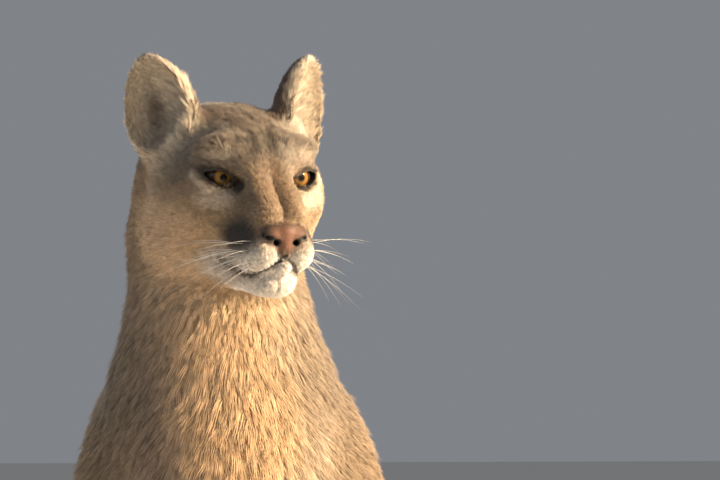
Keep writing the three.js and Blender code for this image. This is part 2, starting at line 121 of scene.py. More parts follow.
def shapeDistance(x, y, z, s):
    if "a" in s:
        q = s["squeeze"]
        ax, ay, az = s["a"][0] / q, s["a"][1], s["a"][2]
        bx, by, bz = s["b"][0] / q - ax, s["b"][1] - ay, s["b"][2] - az
        px, py, pz = x / q - ax, y - ay, z - az
        t = np.clip((px * bx + py * by + pz * bz) / (bx * bx + by * by + bz * bz), 0, 1)
        gap = np.sqrt((px - bx * t) ** 2 + (py - by * t) ** 2 + (pz - bz * t) ** 2)
        return gap - (s["ra"] + (s["rb"] - s["ra"]) * t)
    c, n = s["tip"]
    px, py, pz = x - s["centre"][0], y - s["centre"][1], z - s["centre"][2]
    u = px / s["radii"][0]
    v = (c * py + n * pz) / s["radii"][1]
    w = (c * pz - n * py) / s["radii"][2]
    k0 = np.sqrt(u * u + v * v + w * w)
    k1 = np.sqrt((u / s["radii"][0]) ** 2 + (v / s["radii"][1]) ** 2 + (w / s["radii"][2]) ** 2)
    return k0 * (k0 - 1) / np.maximum(k1, 1e-9)


# the body plan: rounded bones and muscles by region
def sided(side, shapes):
    made = []
    for s in shapes:
        kind, args = s[0], list(s[1:])
        points = 2 if kind is bone else 1
        for i in range(points):
            args[i] = (args[i][0] * side, args[i][1], args[i][2])
        made.append(kind(*args))
    return made


trunk = [
    bone((0, 350, 97), (0, 262, 222), 108, 114, 30, 1.0),
    bone((0, 262, 222), (0, 158, 335), 114, 118, 40, 1.02),
    bone((0, 158, 335), (0, 40, 445), 118, 124, 40, 1.0),
    bone((0, 40, 445), (0, -38, 545), 126, 114, 60, 1.0),
    lump((0, -92, 455), (84, 72, 108), 50, 12),
    lump((0, 60, 300), (84, 88, 110), 50, 30),
]
neck = [
    bone((-1, -38, 560), (-9, -64, 636), 110, 93, 45, 1.0),
    bone((-9, -64, 636), (-15, -98, 704), 93, 72, 40, 1.0),
    bone((-15, -98, 704), (-15, -124, 800), 72, 62, 35),
    lump((-6, -124, 590), (66, 52, 100), 50, -14),
]


def shoulder(side):
    return sided(side, [
        (bone, (62, 12, 590), (92, -72, 470), 58, 62, 45),
        (bone, (94, -76, 462), (90, -30, 352), 60, 48, 35),
    ])


def foreleg(side, ahead):
    return sided(side, [
        (bone, (88, -34 - ahead, 345), (84, -62 - ahead, 240), 47, 38, 30),
        (bone, (84, -62 - ahead, 240), (76, -92 - ahead, 96), 38, 30, 20),
        (bone, (76, -92 - ahead, 96), (76, -104 - ahead, 48), 31, 32, 20, 1.08),
    ])


toes = ((-0.36, 16), (-0.125, 2), (0.125, 0), (0.36, 12))  # aside as a share of the width, set back


def paw(x, heel, toeTip, width, side):
    middle = (heel + toeTip) / 2
    shapes = [(lump, (x, middle + 6, 22), (width * 0.47, (heel - toeTip) * 0.48, 30), 14)]
    for spread, reach in toes:
        base = (x + spread * width * 0.85, toeTip + reach + 44, 23)
        tip = (x + spread * width, toeTip + reach + 17, 11)
        shapes.append((bone, base, tip, width * 0.15, width * 0.165, 7))
    return sided(side, shapes)


def haunch(side):
    return sided(side, [
        (bone, (72, 292, 186), (110, 130, 232), 104, 72, 50, 0.88),
        (bone, (118, 100, 216), (112, 180, 128), 52, 50, 30),
        (bone, (112, 180, 128), (106, 292, 62), 50, 33, 30),
    ])


def hindFoot(side):
    return sided(side, [
        (bone, (106, 292, 30), (110, 200, 26), 33, 29, 18),
        (bone, (110, 200, 26), (114, 90, 26), 29, 30, 14, 1.1),
    ])


# the tail lies along the floor round the left haunch
tailKnots = [
    (0, 408, 112), (2, 462, 66), (26, 500, 28), (90, 514, 23), (160, 480, 23),
    (206, 400, 23), (224, 300, 22), (226, 200, 22), (214, 115, 22), (198, 56, 21),
]


# a smooth curve through the knots, marked at even steps
def smoothPath(knots, steps):
    between = 24
    p = np.array(knots, float)
    ends = np.vstack([2 * p[0] - p[1], p, 2 * p[-1] - p[-2]])
    dense = []
    for i in range(1, len(ends) - 2):
        for t in np.linspace(0, 1, between, endpoint=False):
            a, b, c, d = ends[i - 1], ends[i], ends[i + 1], ends[i + 2]
            dense.append(0.5 * (2 * b + (c - a) * t + (2 * a - 5 * b + 4 * c - d) * t ** 2
                                + (3 * b - a - 3 * c + d) * t ** 3))
    dense = np.array(dense + [ends[-2]])
    run = np.concatenate([[0], np.cumsum(np.linalg.norm(np.diff(dense, axis=0), axis=1))])
    marks = np.linspace(0, run[-1], steps)
    return np.stack([np.interp(marks, run, dense[:, k]) for k in range(3)], 1)


tailSteps = 33
tailPath = smoothPath(tailKnots, tailSteps)
tailRadii = [
    (38 - 13 * min(1, t * 4)) * math.sqrt(max(0.05, 1 - max(0, (t - 0.93) / 0.072) ** 2))
    for t in np.linspace(0, 1, tailSteps)
]
tail = [
    bone(tuple(tailPath[i]), tuple(tailPath[i + 1]), tailRadii[i], tailRadii[i + 1], 16 if i < 4 else 4)
    for i in range(tailSteps - 1)
]

regions = {
    "trunk": trunk,
    "neck": neck,
    "shoulder": shoulder(1) + shoulder(-1),
    "foreleg": foreleg(1, 8) + foreleg(-1, -6),
    "forepaw": paw(76, -70, -184, 84, 1) + paw(76, -56, -170, 84, -1),
    "haunch": haunch(1) + haunch(-1),
    "hindfoot": hindFoot(1) + hindFoot(-1) + paw(115, 120, 6, 80, 1) + paw(115, 120, 6, 80, -1),
    "tail": tail,
}

# the head in its own frame: the origin is midway between the eyes, -Y is ahead, mirrored on both sides
skull = [
    lump((0, 58, 0), (62, 92, 58), 20),
    bone((12, 92, -6), (6, 136, -52), 57, 58, 40),
    lump((30, 3, 24), (27, 21, 13), 15, -16),
    bone((12, -4, 8), (10, -58, -33), 19, 14, 14),
    bone((12, 12, -24), (12, -36, -54), 38, 23, 18),
    lump((15.5, -48, -62), (18, 29, 20), 9),
    bone((14, 30, -66), (9, -34, -86), 34, 16, 14),
    lump((0, -46, -91), (19, 18, 13), 8),
    lump((44, 24, -20), (24, 38, 32), 24),
    lump((38, 66, -44), (34, 46, 42), 26),
    lump((0, -68, -48), (20, 10, 13), 5, 12),
    lump((11.5, -70, -48), (10, 8.5, 7), 2.5, 10),
    bone((0, -72, -46), (0, -72, -63), 7.5, 4.5, 3),
]
mouthLine = [(37, -8, -73), (33, -26, -80), (24, -46, -83), (12, -68, -80), (0, -76, -73)]
lipFold = lump((0, -60, -74), (9, 16, 11), 6)  # fills the lips between the whisker pads
lipSplit = [(0, -78, -62), (0, -78, -67), (0, -76, -73)]
noseTip = np.array((0, -80, -45))
eyeCorner = rod((22, -14, -5), (16, -24, -13), 1.6, 1.0)  # runs a little down towards the nose
nostril = {
    "hole": rod((8, -82, -55), (10, -68, -53), 2.7, 2.4),
    "slit": [(9, -80, -54), (14, -78, -51), (20, -70, -47)],  # runs out and back from the hole
    "slitRadius": 1.7,
    "crease": [(0, -84, -46), (0, -80, -62)],  # down the middle of the nose
}
grooves = {"mouth": 1.3, "split": 0.9, "crease": 0.7}  # radii of the fine lines
farOff = 1e3  # a distance no shape is at


# places in a frame turned by r, from its origin
def turnedBack(r, origin, x, y, z):
    px, py, pz = x - origin[0], y - origin[1], z - origin[2]
    return tuple(r[0, k] * px + r[1, k] * py + r[2, k] * pz for k in range(3))


def headFrame(x, y, z):
    return turnedBack(headTurn, plan["eyePlace"], x, y, z)


def skullDistance(q, y, z):
    d = np.full(np.broadcast(q, y, z).shape, farOff)
    for s in skull:
        d = softMin(d, shapeDistance(q, y, z, s), s["blend"])
    dip = np.sqrt(((q - 27) / 1.2) ** 2 + ((y + 24) / 1.4) ** 2 + (z + 6) ** 2) - 5
    return softMax(d, -dip, 12)


# moves points of the head's frame onto its surface, sunk by a depth
def ontoSkull(points, depth):
    nudge = 0.5
    made = []
    for p in points:
        q = np.array(p, float)
        for step in range(6):
            d = float(skullDistance(abs(q[0]), q[1], q[2])) + depth
            slope = np.zeros(3)
            for k in range(3):
                moved = q.copy()
                moved[k] += nudge
                slope[k] = (float(skullDistance(abs(moved[0]), moved[1], moved[2])) + depth - d) / nudge
            q = q - d * slope / max(1e-6, float(slope @ slope))
        made.append(q)
    return np.array(made)


def pathDistance(x, y, z, path, radius):
    d = np.full(np.broadcast(x, y, z).shape, farOff)
    for a, b in zip(path[:-1], path[1:]):
        d = np.minimum(d, shapeDistance(x, y, z, rod(a, b, radius, radius)))
    return d


mouthPath = ontoSkull(smoothPath(mouthLine, 12), 0.4)
splitPath = ontoSkull(lipSplit, 0.3)
ear = {
    "root": (60, 62, 34),
    "turn": (2, 18, 44),  # degrees tipped back, leaned out, opened out
    "outer": (38, 22, 57),
    "inner": (31, 23, 47),
    "innerBelow": 34,  # the cup's lower half is shorter
    "outerUp": 18,  # height of the outer form's middle over the root
    "innerAhead": 12,
    "innerUp": 22,
    "narrows": 0.16,  # share lost over each 60 mm, from 10 mm up
}


def earFrame(q, y, z):
    a, b, c = (math.radians(v) for v in ear["turn"])
    r = np.array(Matrix.Rotation(c, 3, "Z") @ Matrix.Rotation(b, 3, "Y") @ Matrix.Rotation(a, 3, "X"))
    return turnedBack(r, ear["root"], q, y, z)


# distance to the cup in shares of its radii, below 0 inside it; places are in the ear's own frame
def cupGap(x, y, z, narrow):
    ix, iy, iz = ear["inner"]
    up = z - ear["innerUp"]
    low = np.where(z > ear["innerUp"], iz, ear["innerBelow"])
    return np.sqrt((x / (ix * narrow)) ** 2 + ((y + ear["innerAhead"]) / iy) ** 2 + (up / low) ** 2) - 1


def earDistance(q, y, z):
    x, y, z = earFrame(q, y, z)
    narrow = 1 - ear["narrows"] * np.maximum(0, (z - 10) / 60)
    ox, oy, oz = ear["outer"]
    up = z - ear["outerUp"]
    outer = (np.sqrt((x / (ox * narrow)) ** 2 + (y / oy) ** 2 + (up / oz) ** 2) - 1) * oy
    return softMax(outer, -cupGap(x, y, z, narrow) * 20, 4)


# 1 in the cup of the ear, 0 on its back
def cupShare(q, y, z):
    return smoothStep(0.26, 0.10, cupGap(*earFrame(q, y, z), 1))


# the eye's own frame: u runs outward across the face, v ahead, w up
def eyeFrame(q, y, z):
    turn = math.radians(plan["eyeOutward"])
    px = q - plan["eyeApart"]
    u = px * math.cos(turn) + y * math.sin(turn)
    v = px * math.sin(turn) - y * math.cos(turn)
    return u, v, z


def lidGap(u, w):
    width, height, slant = plan["lidOpening"]
    c, s = math.cos(math.radians(slant)), math.sin(math.radians(slant))
    u, w = u * c + w * s, w * c - u * s
    a = width / 2
    above, below = (height * share for share in plan["lidShares"])
    high = (a * a + above * above) / (2 * above)
    low = (a * a + below * below) / (2 * below)
    return np.maximum(np.hypot(u, w + (high - above)) - high, np.hypot(u, w - (low - below)) - low)


def nostrilDistance(q, y, z):
    hole = shapeDistance(q, y, z, nostril["hole"])
    return softMin(hole, pathDistance(q, y, z, nostril["slit"], nostril["slitRadius"]), 3)


def headDistance(hx, hy, hz):
    q = np.abs(hx)
    d = skullDistance(q, hy, hz)
    u, v, w = eyeFrame(q, hy, hz)
    ball = np.sqrt(u * u + v * v + w * w)
    d = softMin(d, ball - plan["eyeRadius"] - plan["lidThickness"], 5)
    d = softMin(d, shapeDistance(q, hy, hz, lipFold), lipFold["blend"])
    d = softMax(d, -shapeDistance(q, hy, hz, eyeCorner), 3)
    d = softMax(d, -pathDistance(q, hy, hz, mouthPath, grooves["mouth"]), 3)
    d = softMax(d, -pathDistance(q, hy, hz, splitPath, grooves["split"]), 3)
    d = softMax(d, -nostrilDistance(q, hy, hz), 2)
    return softMax(d, -pathDistance(q, hy, hz, nostril["crease"], grooves["crease"]), 2)


def carveLids(d, hx, hy, hz):
    u, v, w = eyeFrame(np.abs(hx), hy, hz)
    gap = np.maximum(lidGap(u, w), plan["lidDepth"] - v)
    return softMax(d, -gap, 1.2)


def bodyDistance(x, y, z):
    d = np.full(np.broadcast(x, y, z).shape, farOff)
    for shapes in regions.values():
        for s in shapes:
            near = (x > s["low"][0]) & (x < s["high"][0]) & (y > s["low"][1]) & (y < s["high"][1])
            near = near & (z > s["low"][2]) & (z < s["high"][2])
            if near.any():
                d[near] = softMin(d[near], shapeDistance(x[near], y[near], z[near], s), s["blend"])
    hx, hy, hz = headFrame(x, y, z)
    near = (np.abs(hx) < 190) & (hy > -150) & (hy < 260) & (hz > -220) & (hz < 170)
    d[near] = joinHead(d[near], hx[near], hy[near], hz[near])
    return np.maximum(d, -z)


def joinHead(d, hx, hy, hz):
    d = softMin(d, headDistance(hx, hy, hz), plan["headBlend"])
    d = softMin(d, earDistance(np.abs(hx), hy, hz), plan["earBlend"])
    return carveLids(d, hx, hy, hz)


# the skin: a net of quads laid where the distance is zero
def ticksOf(low, high, fine, coarse, zones):
    marks = [low]
    while marks[-1] < high:
        inside = any(a <= marks[-1] < b for a, b in zones)
        marks.append(marks[-1] + (fine if inside else coarse))
    return np.array(marks)


grain = {"head": 1.8, "skull": 3.0, "body": 7.0, "paws": 4.5}
margin = 20  # of the grid round the whole body
headRoom = {"low": (60, 30, 60), "high": (60, 90, 1e4)}  # where the head blends in round its own box
everywhere = [(-1e4, 1e4)]
headLow, headHigh = (np.array(v) / mm - np.array(standShift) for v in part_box("head"))
bodyLow, bodyHigh = (np.array(v) / mm - np.array(standShift) for v in (cadLow, cadHigh))
faceEnd = headLow[1] + 115
chin = headLow[2] + 10
headSpan = [(headLow[0] - 16, headHigh[0] + 16)]
xs = ticksOf(bodyLow[0] - margin, bodyHigh[0] + margin, grain["head"], grain["body"], headSpan)
ys = np.concatenate([
    ticksOf(bodyLow[1] - margin, faceEnd, grain["head"], grain["head"], everywhere)[:-1],
    ticksOf(faceEnd, bodyHigh[1] + margin, grain["skull"], grain["body"], [(-1e4, headHigh[1] - 40)]),
])
zs = np.concatenate([
    ticksOf(-12, chin, grain["paws"], grain["body"], [(-1e4, 60)])[:-1],
    ticksOf(chin, bodyHigh[2] + margin, grain["head"], grain["head"], everywhere),
])
ticks = (xs, ys, zs)
print("grid", len(xs), len(ys), len(zs))


# the part of the grid between two corners, and its places
def cutOf(low, high):
    cut = [slice(*np.searchsorted(marks, (a, b))) for marks, a, b in zip(ticks, low, high)]
    return tuple(cut), np.ix_(*(marks[c] for marks, c in zip(ticks, cut)))


def gridDistance():
    d = np.full((len(xs), len(ys), len(zs)), 60.0, np.float32)
    for shapes in regions.values():
        for s in shapes:
            part, places = cutOf(s["low"] - 8, s["high"] + 8)
            if d[part].size:
                d[part] = softMin(d[part], shapeDistance(*places, s), s["blend"])
    part, places = cutOf(headLow - headRoom["low"], headHigh + headRoom["high"])
    d[part] = joinHead(d[part], *headFrame(*places))
    return np.maximum(d, -zs[None, None, :])


# one point in every cell that the surface crosses, one quad round every edge that it crosses
def netOf(d):
    s = d < 0
    total = np.zeros(tuple(n - 1 for n in d.shape), np.int8)
    for c in range(8):
        i, j, k = c & 1, (c >> 1) & 1, c >> 2
        total += s[i:s.shape[0] - 1 + i, j:s.shape[1] - 1 + j, k:s.shape[2] - 1 + k]
    live = (total > 0) & (total < 8)
    ci, cj, ck = np.nonzero(live)
    index = np.full(live.shape, -1, np.int32)
    index[live] = np.arange(len(ci))
    spots = np.zeros((len(ci), 3))
    count = np.zeros(len(ci))
    for a in range(8):
        for bit in (1, 2, 4):
            b = a | bit
            if b == a:
                continue
            ia, ja, ka = ci + (a & 1), cj + ((a >> 1) & 1), ck + (a >> 2)
            ib, jb, kb = ci + (b & 1), cj + ((b >> 1) & 1), ck + (b >> 2)
            va, vb = d[ia, ja, ka], d[ib, jb, kb]
            cross = (va < 0) != (vb < 0)
            t = np.where(cross, va / np.where(cross, va - vb, 1), 0)
            pa = np.stack([xs[ia], ys[ja], zs[ka]], 1)
            pb = np.stack([xs[ib], ys[jb], zs[kb]], 1)
            spots += np.where(cross[:, None], pa + (pb - pa) * t[:, None], 0)
            count += cross
    spots /= count[:, None]
    faces = []
    for axis in range(3):
        b, c = (axis + 1) % 3, (axis + 2) % 3
        near, far = [slice(1, -1)] * 3, [slice(1, -1)] * 3
        near[axis], far[axis] = slice(None, -1), slice(1, None)
        at = list(np.nonzero(s[tuple(near)] != s[tuple(far)]))
        at[b] = at[b] + 1
        at[c] = at[c] + 1
        corners = []
        for db, dc in ((-1, -1), (0, -1), (0, 0), (-1, 0)):
            cell = list(at)
            cell[b] = at[b] + db
            cell[c] = at[c] + dc
            corners.append(index[tuple(cell)])
        quads = np.stack(corners, 1)
        faces.append(np.where(s[tuple(at)][:, None], quads, quads[:, ::-1]))
    return spots, np.concatenate(faces)


def normalsOf(spots, faces):
    a = spots[faces[:, 2]] - spots[faces[:, 0]]
    b = spots[faces[:, 3]] - spots[faces[:, 1]]
    n = np.cross(a, b)
    made = np.zeros_like(spots)
    for axis in range(3):
        for corner in range(4):
            made[:, axis] += np.bincount(faces[:, corner], n[:, axis], len(spots))
    return made / np.maximum(np.linalg.norm(made, axis=1), 1e-9)[:, None]


def relax(spots, faces, amount):
    total = np.zeros_like(spots)
    count = np.zeros(len(spots))
    for a in range(4):
        b = (a + 1) % 4
        for p, q in ((a, b), (b, a)):
            count += np.bincount(faces[:, p], minlength=len(spots))
            for axis in range(3):
                total[:, axis] += np.bincount(faces[:, p], spots[faces[:, q], axis], len(spots))
    return spots + (total / count[:, None] - spots) * amount


def smoothStep(a, b, x):
    t = np.clip((x - a) / (b - a), 0, 1)
    return t * t * (3 - 2 * t)


parting = (9, 26)  # how sharply and how softly the regions part, in mm


# how near a point is to each region, as weights that add up to one, parted sharply and softly
def regionWeights(x, y, z, hx, hy, hz):
    gaps = {}
    for name, shapes in regions.items():
        d = np.full(x.shape, farOff)
        for s in shapes:
            d = np.minimum(d, shapeDistance(x, y, z, s))
        gaps[name] = d
    q = np.abs(hx)
    gaps["head"] = skullDistance(q, hy, hz)
    gaps["ear"] = earDistance(q, hy, hz)
    least = np.minimum.reduce(list(gaps.values()))
    both = []
    for reach in parting:
        shares = {name: np.exp(-(d - least) / reach) for name, d in gaps.items()}
        total = sum(shares.values())
        both.append({name: share / total for name, share in shares.items()})
    return both


# coat by region: depth of the skin under the tips, tuft length and width, lift in degrees
coat = {
    "trunk": (8, 19, 1.9, 17),
    "neck": (9, 23, 1.9, 20),
    "shoulder": (8, 19, 1.9, 17),
    "foreleg": (5, 13, 1.5, 14),
    "forepaw": (3, 8, 1.2, 12),
    "haunch": (8, 18, 1.9, 16),
    "hindfoot": (3.5, 9, 1.3, 12),
    "tail": (6, 18, 1.8, 16),
    "head": (2.2, 9, 1.0, 14),
    "ear": (1.0, 6, 0.8, 12),
}
faceCoat = {
    "length": (4.0, 9.0),  # at the nose, and added towards the cheeks
    "depth": (1.0, 3.5),
    "width": (0.8, 0.5),
    "middle": (0, -75, -45),  # in the nose, where the distances below are counted from
    "growsOver": (15, 165),
    "endsOver": (190, 130),
}
# half the width of the bare nose at each height
noseHeights = [-71, -65, -60, -55, -50, -43, -39, -37]
noseHalves = [0, 3.5, 8, 15, 21, 21, 15, 0]
bareCorner = [(23, -13, -5), (17, -23, -12)]


def farness(points, centre, radii):
    return sum(((p - c) / r) ** 2 for p, c, r in zip(points, centre, radii))


def bareness(hx, hy, hz):
    q = np.abs(hx)
    half = np.interp(hz, noseHeights, noseHalves)
    nose = smoothStep(-0.8, 0.8, half - q) * smoothStep(-58, -62, hy)
    u, v, w = eyeFrame(q, hy, hz)
    lid = (1 - smoothStep(1.0, 2.2, lidGap(u, w))) * (v > 0)
    corner = pathDistance(q, hy, hz, bareCorner, 1.0)
    lid = np.maximum(lid, 1 - smoothStep(1.2, 3.4, corner))
    lips = 1 - smoothStep(1.3, 2.7, pathDistance(q, hy, hz, mouthPath, 0.5))
    return nose, lid, lips


def skinFields(spots):
    x, y, z = spots.T
    hx, hy, hz = headFrame(x, y, z)
    shares, broad = regionWeights(x, y, z, hx, hy, hz)
    values = sum(broad[name][:, None] * np.array(v)[None, :] for name, v in coat.items())
    depth, length, width, lift = values.T
    nose, lid, lips = bareness(hx, hy, hz)
    # the face's hair is shortest round the nose and grows longer towards the cheeks
    muzzle = np.sqrt(farness((hx, hy, hz), faceCoat["middle"], (1, 1, 1)))
    far = smoothStep(*faceCoat["growsOver"], muzzle)
    onFace = smoothStep(*faceCoat["endsOver"], muzzle) * (1 - shares["ear"])

    def onto(value, name):
        least, more = faceCoat[name]
        return value + (least + more * far - value) * onFace

    length, depth, width = onto(length, "length"), onto(depth, "depth"), onto(width, "width")
    ex, ez = earFrame(np.abs(hx), hy, hz)[::2]
    inCup = shares["ear"] * cupShare(np.abs(hx), hy, hz)
    length = length + 12 * inCup * smoothStep(0, -18, ex) * smoothStep(56, 30, ez)
    bare = np.maximum.reduce([nose, lid, lips])
    depth = depth * (1 - bare)
    # cheeks and throat carry the longest hair
    ruff = np.exp(-farness((np.abs(hx), hy, hz), (70, 70, -75), (30, 45, 45)))
    breast = np.exp(-farness((x, y, z), (0, -150, 600), (90, 70, 150)))
    length = length * (1 + 0.5 * ruff + 0.5 * breast)
    return {
        "shares": shares, "broad": broad, "depth": depth, "length": length, "width": width, "lift": lift,
        "bare": bare, "nose": nose, "lid": lid, "lips": lips, "head": (hx, hy, hz),
    }


settle = {"sole": 0.6, "least": 0.3, "limits": (-6, 12), "relax": 0.5}


# the net is moved twice onto the skin, which lies under the tips by the coat's depth; soles stay flat
def buildSkin():
    spots, faces = netOf(gridDistance())
    print("net", len(spots), len(faces))
    for step in range(2):
        depth = skinFields(spots)["depth"]
        normals = normalsOf(spots, faces)
        gap = bodyDistance(*spots.T) + depth
        flat = spots[:, 2] < settle["sole"]
        moved = spots - normals * np.clip(gap, *settle["limits"])[:, None]
        spots = np.where(flat[:, None], spots, moved)
        if step == 0:
            kept = spots.copy()
            spots = relax(spots, faces, settle["relax"])
            spots[:, 2] = np.where(flat, kept[:, 2], spots[:, 2])
    spots[:, 2] = np.maximum(spots[:, 2], settle["least"])
    return spots, faces


skinSpots, skinFaces = buildSkin()
skinNormals = normalsOf(skinSpots, skinFaces)
fields = skinFields(skinSpots)
print("skin shaped", len(skinFaces))


# whiskers: where they leave the muzzle, in rows
whisker = {"rows": 4, "each": 5, "long": 82, "thick": 0.24, "droop": 0.22, "spot": 1.9}


def whiskerRoots():
    rng = random.Random(9)
    roots = []
    for row in range(whisker["rows"]):
        for i in range(whisker["each"]):
            aside = 22 + 3 * i + rng.uniform(-1, 1)
            roots.append((aside, -60 + 8 * i, -56 - 5 * row - rng.uniform(0, 2)))
    return ontoSkull(roots, 1.0)


rootSpots = whiskerRoots()


# markings and some painted shade, as colours laid over one another by soft masks
tones = {
    "back": (0.235, 0.165, 0.105),
    "side": (0.37, 0.255, 0.15),
    "chest": (0.66, 0.47, 0.29),
    "warm": (0.70, 0.48, 0.26),
    "belly": (0.70, 0.60, 0.46),
    "crown": (0.255, 0.20, 0.143),
    # streak: the darkest brown, for the streaks and also for painted shade under the ears and beside the
    # nose bridge
    "streak": (0.045, 0.031, 0.021),
    "bridge": (0.29, 0.185, 0.105),
    "white": (0.82, 0.75, 0.65),
    "pale": (0.66, 0.54, 0.40),
    "dark": (0.030, 0.024, 0.020),
    "brown": (0.12, 0.08, 0.055),
    "leather": (0.28, 0.128, 0.072),
    "earInside": (0.78, 0.66, 0.50),
    "earCupShade": (0.12, 0.08, 0.06),
}


# marks mirrored on the face: tone, strength, centre, radii, softness of the edge
faceMarks = [
    ("bridge", 0.9, (0, -40, -20), (16, 40, 30), 0.5),
    ("chest", 0.75, (62, 40, -62), (40, 60, 40), 0.35),
    ("pale", 0.6, (33, -8, 19), (13, 16, 6), 0.5),
    ("pale", 0.95, (40, -16, -19), (17, 16, 9), 0.5),
    ("white", 1.0, (18, -54, -68), (20, 28, 16), 0.4),
    ("white", 1.0, (0, -34, -98), (34, 40, 17), 0.4),
    ("white", 1.0, (0, -66, -82), (20, 22, 18), 0.4),
    ("white", 0.5, (34, -6, -76), (20, 24, 15), 0.5),
    # the next two: dark marks on the muzzle side and at the inner eye corner, partly the coat's own
    # marking and partly painted shade beside the nose bridge
    ("dark", 0.93, (31, -46, -49), (13, 29, 15), 0.5),
    ("dark", 0.85, (22, -16, -11), (6, 9, 12), 0.6),
    ("brown", 0.6, (12, 8, 40), (4, 20, 18), 0.7),
    ("brown", 0.45, (26, 6, 31), (8, 10, 6), 0.7),
]


def blob(points, centre, radii, soft):
    return 1 - smoothStep(1 - soft, 1 + soft, np.sqrt(farness(points, centre, radii)))


# a smooth uneven field of about -1 to 1, from seven waves of about one size
def wobble(x, y, z, size, seed):
    waves, wholeTurn = 7, 6.28
    rng = np.random.default_rng(seed)
    made = np.zeros(x.shape)
    for step in range(waves):
        way = rng.normal(size=3)
        way /= np.linalg.norm(way) * size * rng.uniform(0.6, 1.5)
        made += np.sin((x * way[0] + y * way[1] + z * way[2]) * wholeTurn + rng.uniform(0, wholeTurn))
    return made / waves


def paint(spots, normals, fields):
    x, y, z = spots.T
    hx, hy, hz = fields["head"]
    q = np.abs(hx)
    h = (q, hy, hz)
    shares = fields["shares"]
    colour = np.tile(np.array(tones["side"]), (len(spots), 1))

    def lay(name, mask):
        nonlocal colour
        m = np.clip(mask, 0, 1)[:, None]
        colour = colour * (1 - m) + np.array(tones[name]) * m

    rough = wobble(x, y, z, 60, 3)
    upward = smoothStep(-0.1, 0.85, normals[:, 1] * 0.75 + normals[:, 2] * 0.5 + rough * 0.15)
    lay("back", upward * 0.85)
    ahead = smoothStep(0.05, 0.75, -normals[:, 1] + rough * 0.2)
    middle = 1 - smoothStep(35, 100, np.abs(x + 4) + rough * 25)
    lay("chest", ahead * middle * (shares["neck"] + shares["trunk"] + shares["shoulder"] * 0.6))
    strand = wobble(x, y, z * 0.35, 16, 41)
    breast = 1 - smoothStep(22, 62, np.abs(x - 6) + rough * 22 + strand * 14)
    lay("warm", 0.75 * ahead * shares["neck"] * breast)
    lay("side", 0.6 * ahead * (shares["neck"] + shares["trunk"]) * smoothStep(0.2, 0.55, strand))
    below = smoothStep(0.2, 0.8, -normals[:, 2] + rough * 0.2)
    lay("belly", below * (shares["trunk"] + 0.4 * shares["haunch"]))
    inner = smoothStep(0.3, 0.9, -np.sign(x) * normals[:, 0])
    lay("belly", 0.7 * inner * (shares["foreleg"] + shares["haunch"]))
    lay("pale", 0.45 * (shares["forepaw"] + shares["hindfoot"]))
    tipGap = np.linalg.norm(spots - tailPath[-1], axis=1)
    lay("dark", shares["tail"] * (1 - smoothStep(60, 110, tipGap + rough * 14)))
    lay("crown", 0.65 * shares["neck"] * smoothStep(0.35, 0.85, np.abs(normals[:, 0]) + rough * 0.15))
    # the face
    onHead = np.clip(shares["head"] * 1.4, 0, 1)
    lay("crown", onHead * smoothStep(-12, 22, hz + rough * 8) * smoothStep(-70, -25, hy))
    for name, strength, centre, radii, soft in faceMarks:
        lay(name, onHead * strength * blob(h, centre, radii, soft))
    # streaks that fan out over the forehead, broken and flecked
    fan = np.arctan2(hx, np.maximum(hz + 25, 5))
    streak = np.abs(np.sin(fan * 11 + wobble(hx, hy, hz, 22, 8) * 3.0))
    broken = smoothStep(-0.35, 0.15, wobble(hx, hy, hz, 15, 17))
    streak = broken * (1 - smoothStep(0.1, 0.75, streak))
    lay("streak", onHead * 0.85 * streak * blob(h, (0, 8, 48), (54, 76, 38), 0.35))
    lay("streak", onHead * 0.8 * blob(h, (8, -20, 27), (4.6, 20, 13), 0.5))
    fleck = smoothStep(0.1, 0.45, wobble(hx, hy, hz, 9, 31))
    lay("streak", onHead * 0.45 * fleck * smoothStep(-4, 20, hz))
    lay("streak", onHead * 0.5 * blob(h, (38, 50, 48), (16, 20, 14), 0.6))
    # painted shade under each ear, between ear and cheek, in the streaks' dark tone
    lay("streak", 0.55 * blob(h, (60, 30, 8), (18, 28, 30), 0.6))
    # a dark mark down each side of the nose bridge, partly the coat's own marking and partly painted
    # shade from the bridge
    lay("streak", onHead * 0.6 * blob(h, (22, -34, -26), (8, 24, 20), 0.6))
    above = np.where(lidSide(h) > 0, 0.75, 0.4)
    # a brown rim round the lids, and a pale line under it at the outer end
    lay("brown", onHead * above * (1 - smoothStep(2.0, 6.0, np.abs(lidOf(h)))) * (hy < 4))
    outer = smoothStep(24, 30, q)
    under = blob((lidOf(h),), (6.5,), (2.4,), 0.6)
    lay("pale", onHead * 0.9 * outer * (lidSide(h) < 0) * under * (hy < 0))
    for root in rootSpots:
        lay("brown", onHead * 0.75 * blob(h, root, [whisker["spot"]] * 3, 0.5))
    # ears: dark behind, cream inside, with painted shade low in the cup
    ex, ey, ez = earFrame(*h)
    onEar = shares["ear"]
    cup = cupShare(*h)
    lay("brown", onEar * smoothStep(-8, 4, ey))
    lay("earInside", onEar * cup)
    lay("earInside", onEar * smoothStep(-2, -9, ey))
    # painted shade in the hollow low in the ear cup
    lay("earCupShade", onEar * 0.9 * cup * blob((ex, ez), (7, 8), (10, 30), 0.6))
    lay("brown", onEar * 0.8 * smoothStep(68, 76, ez))
    # the nose: darker at its sides, top and foot, with painted shade in the nostrils
    bareNose = fields["nose"]
    lay("leather", bareNose)
    lay("brown", bareNose * 0.85 * smoothStep(9, 19, q + rough * 3))
    lay("brown", bareNose * 0.75 * smoothStep(-56, -64, hz))
    lay("brown", bareNose * 0.7 * smoothStep(-43, -38, hz))
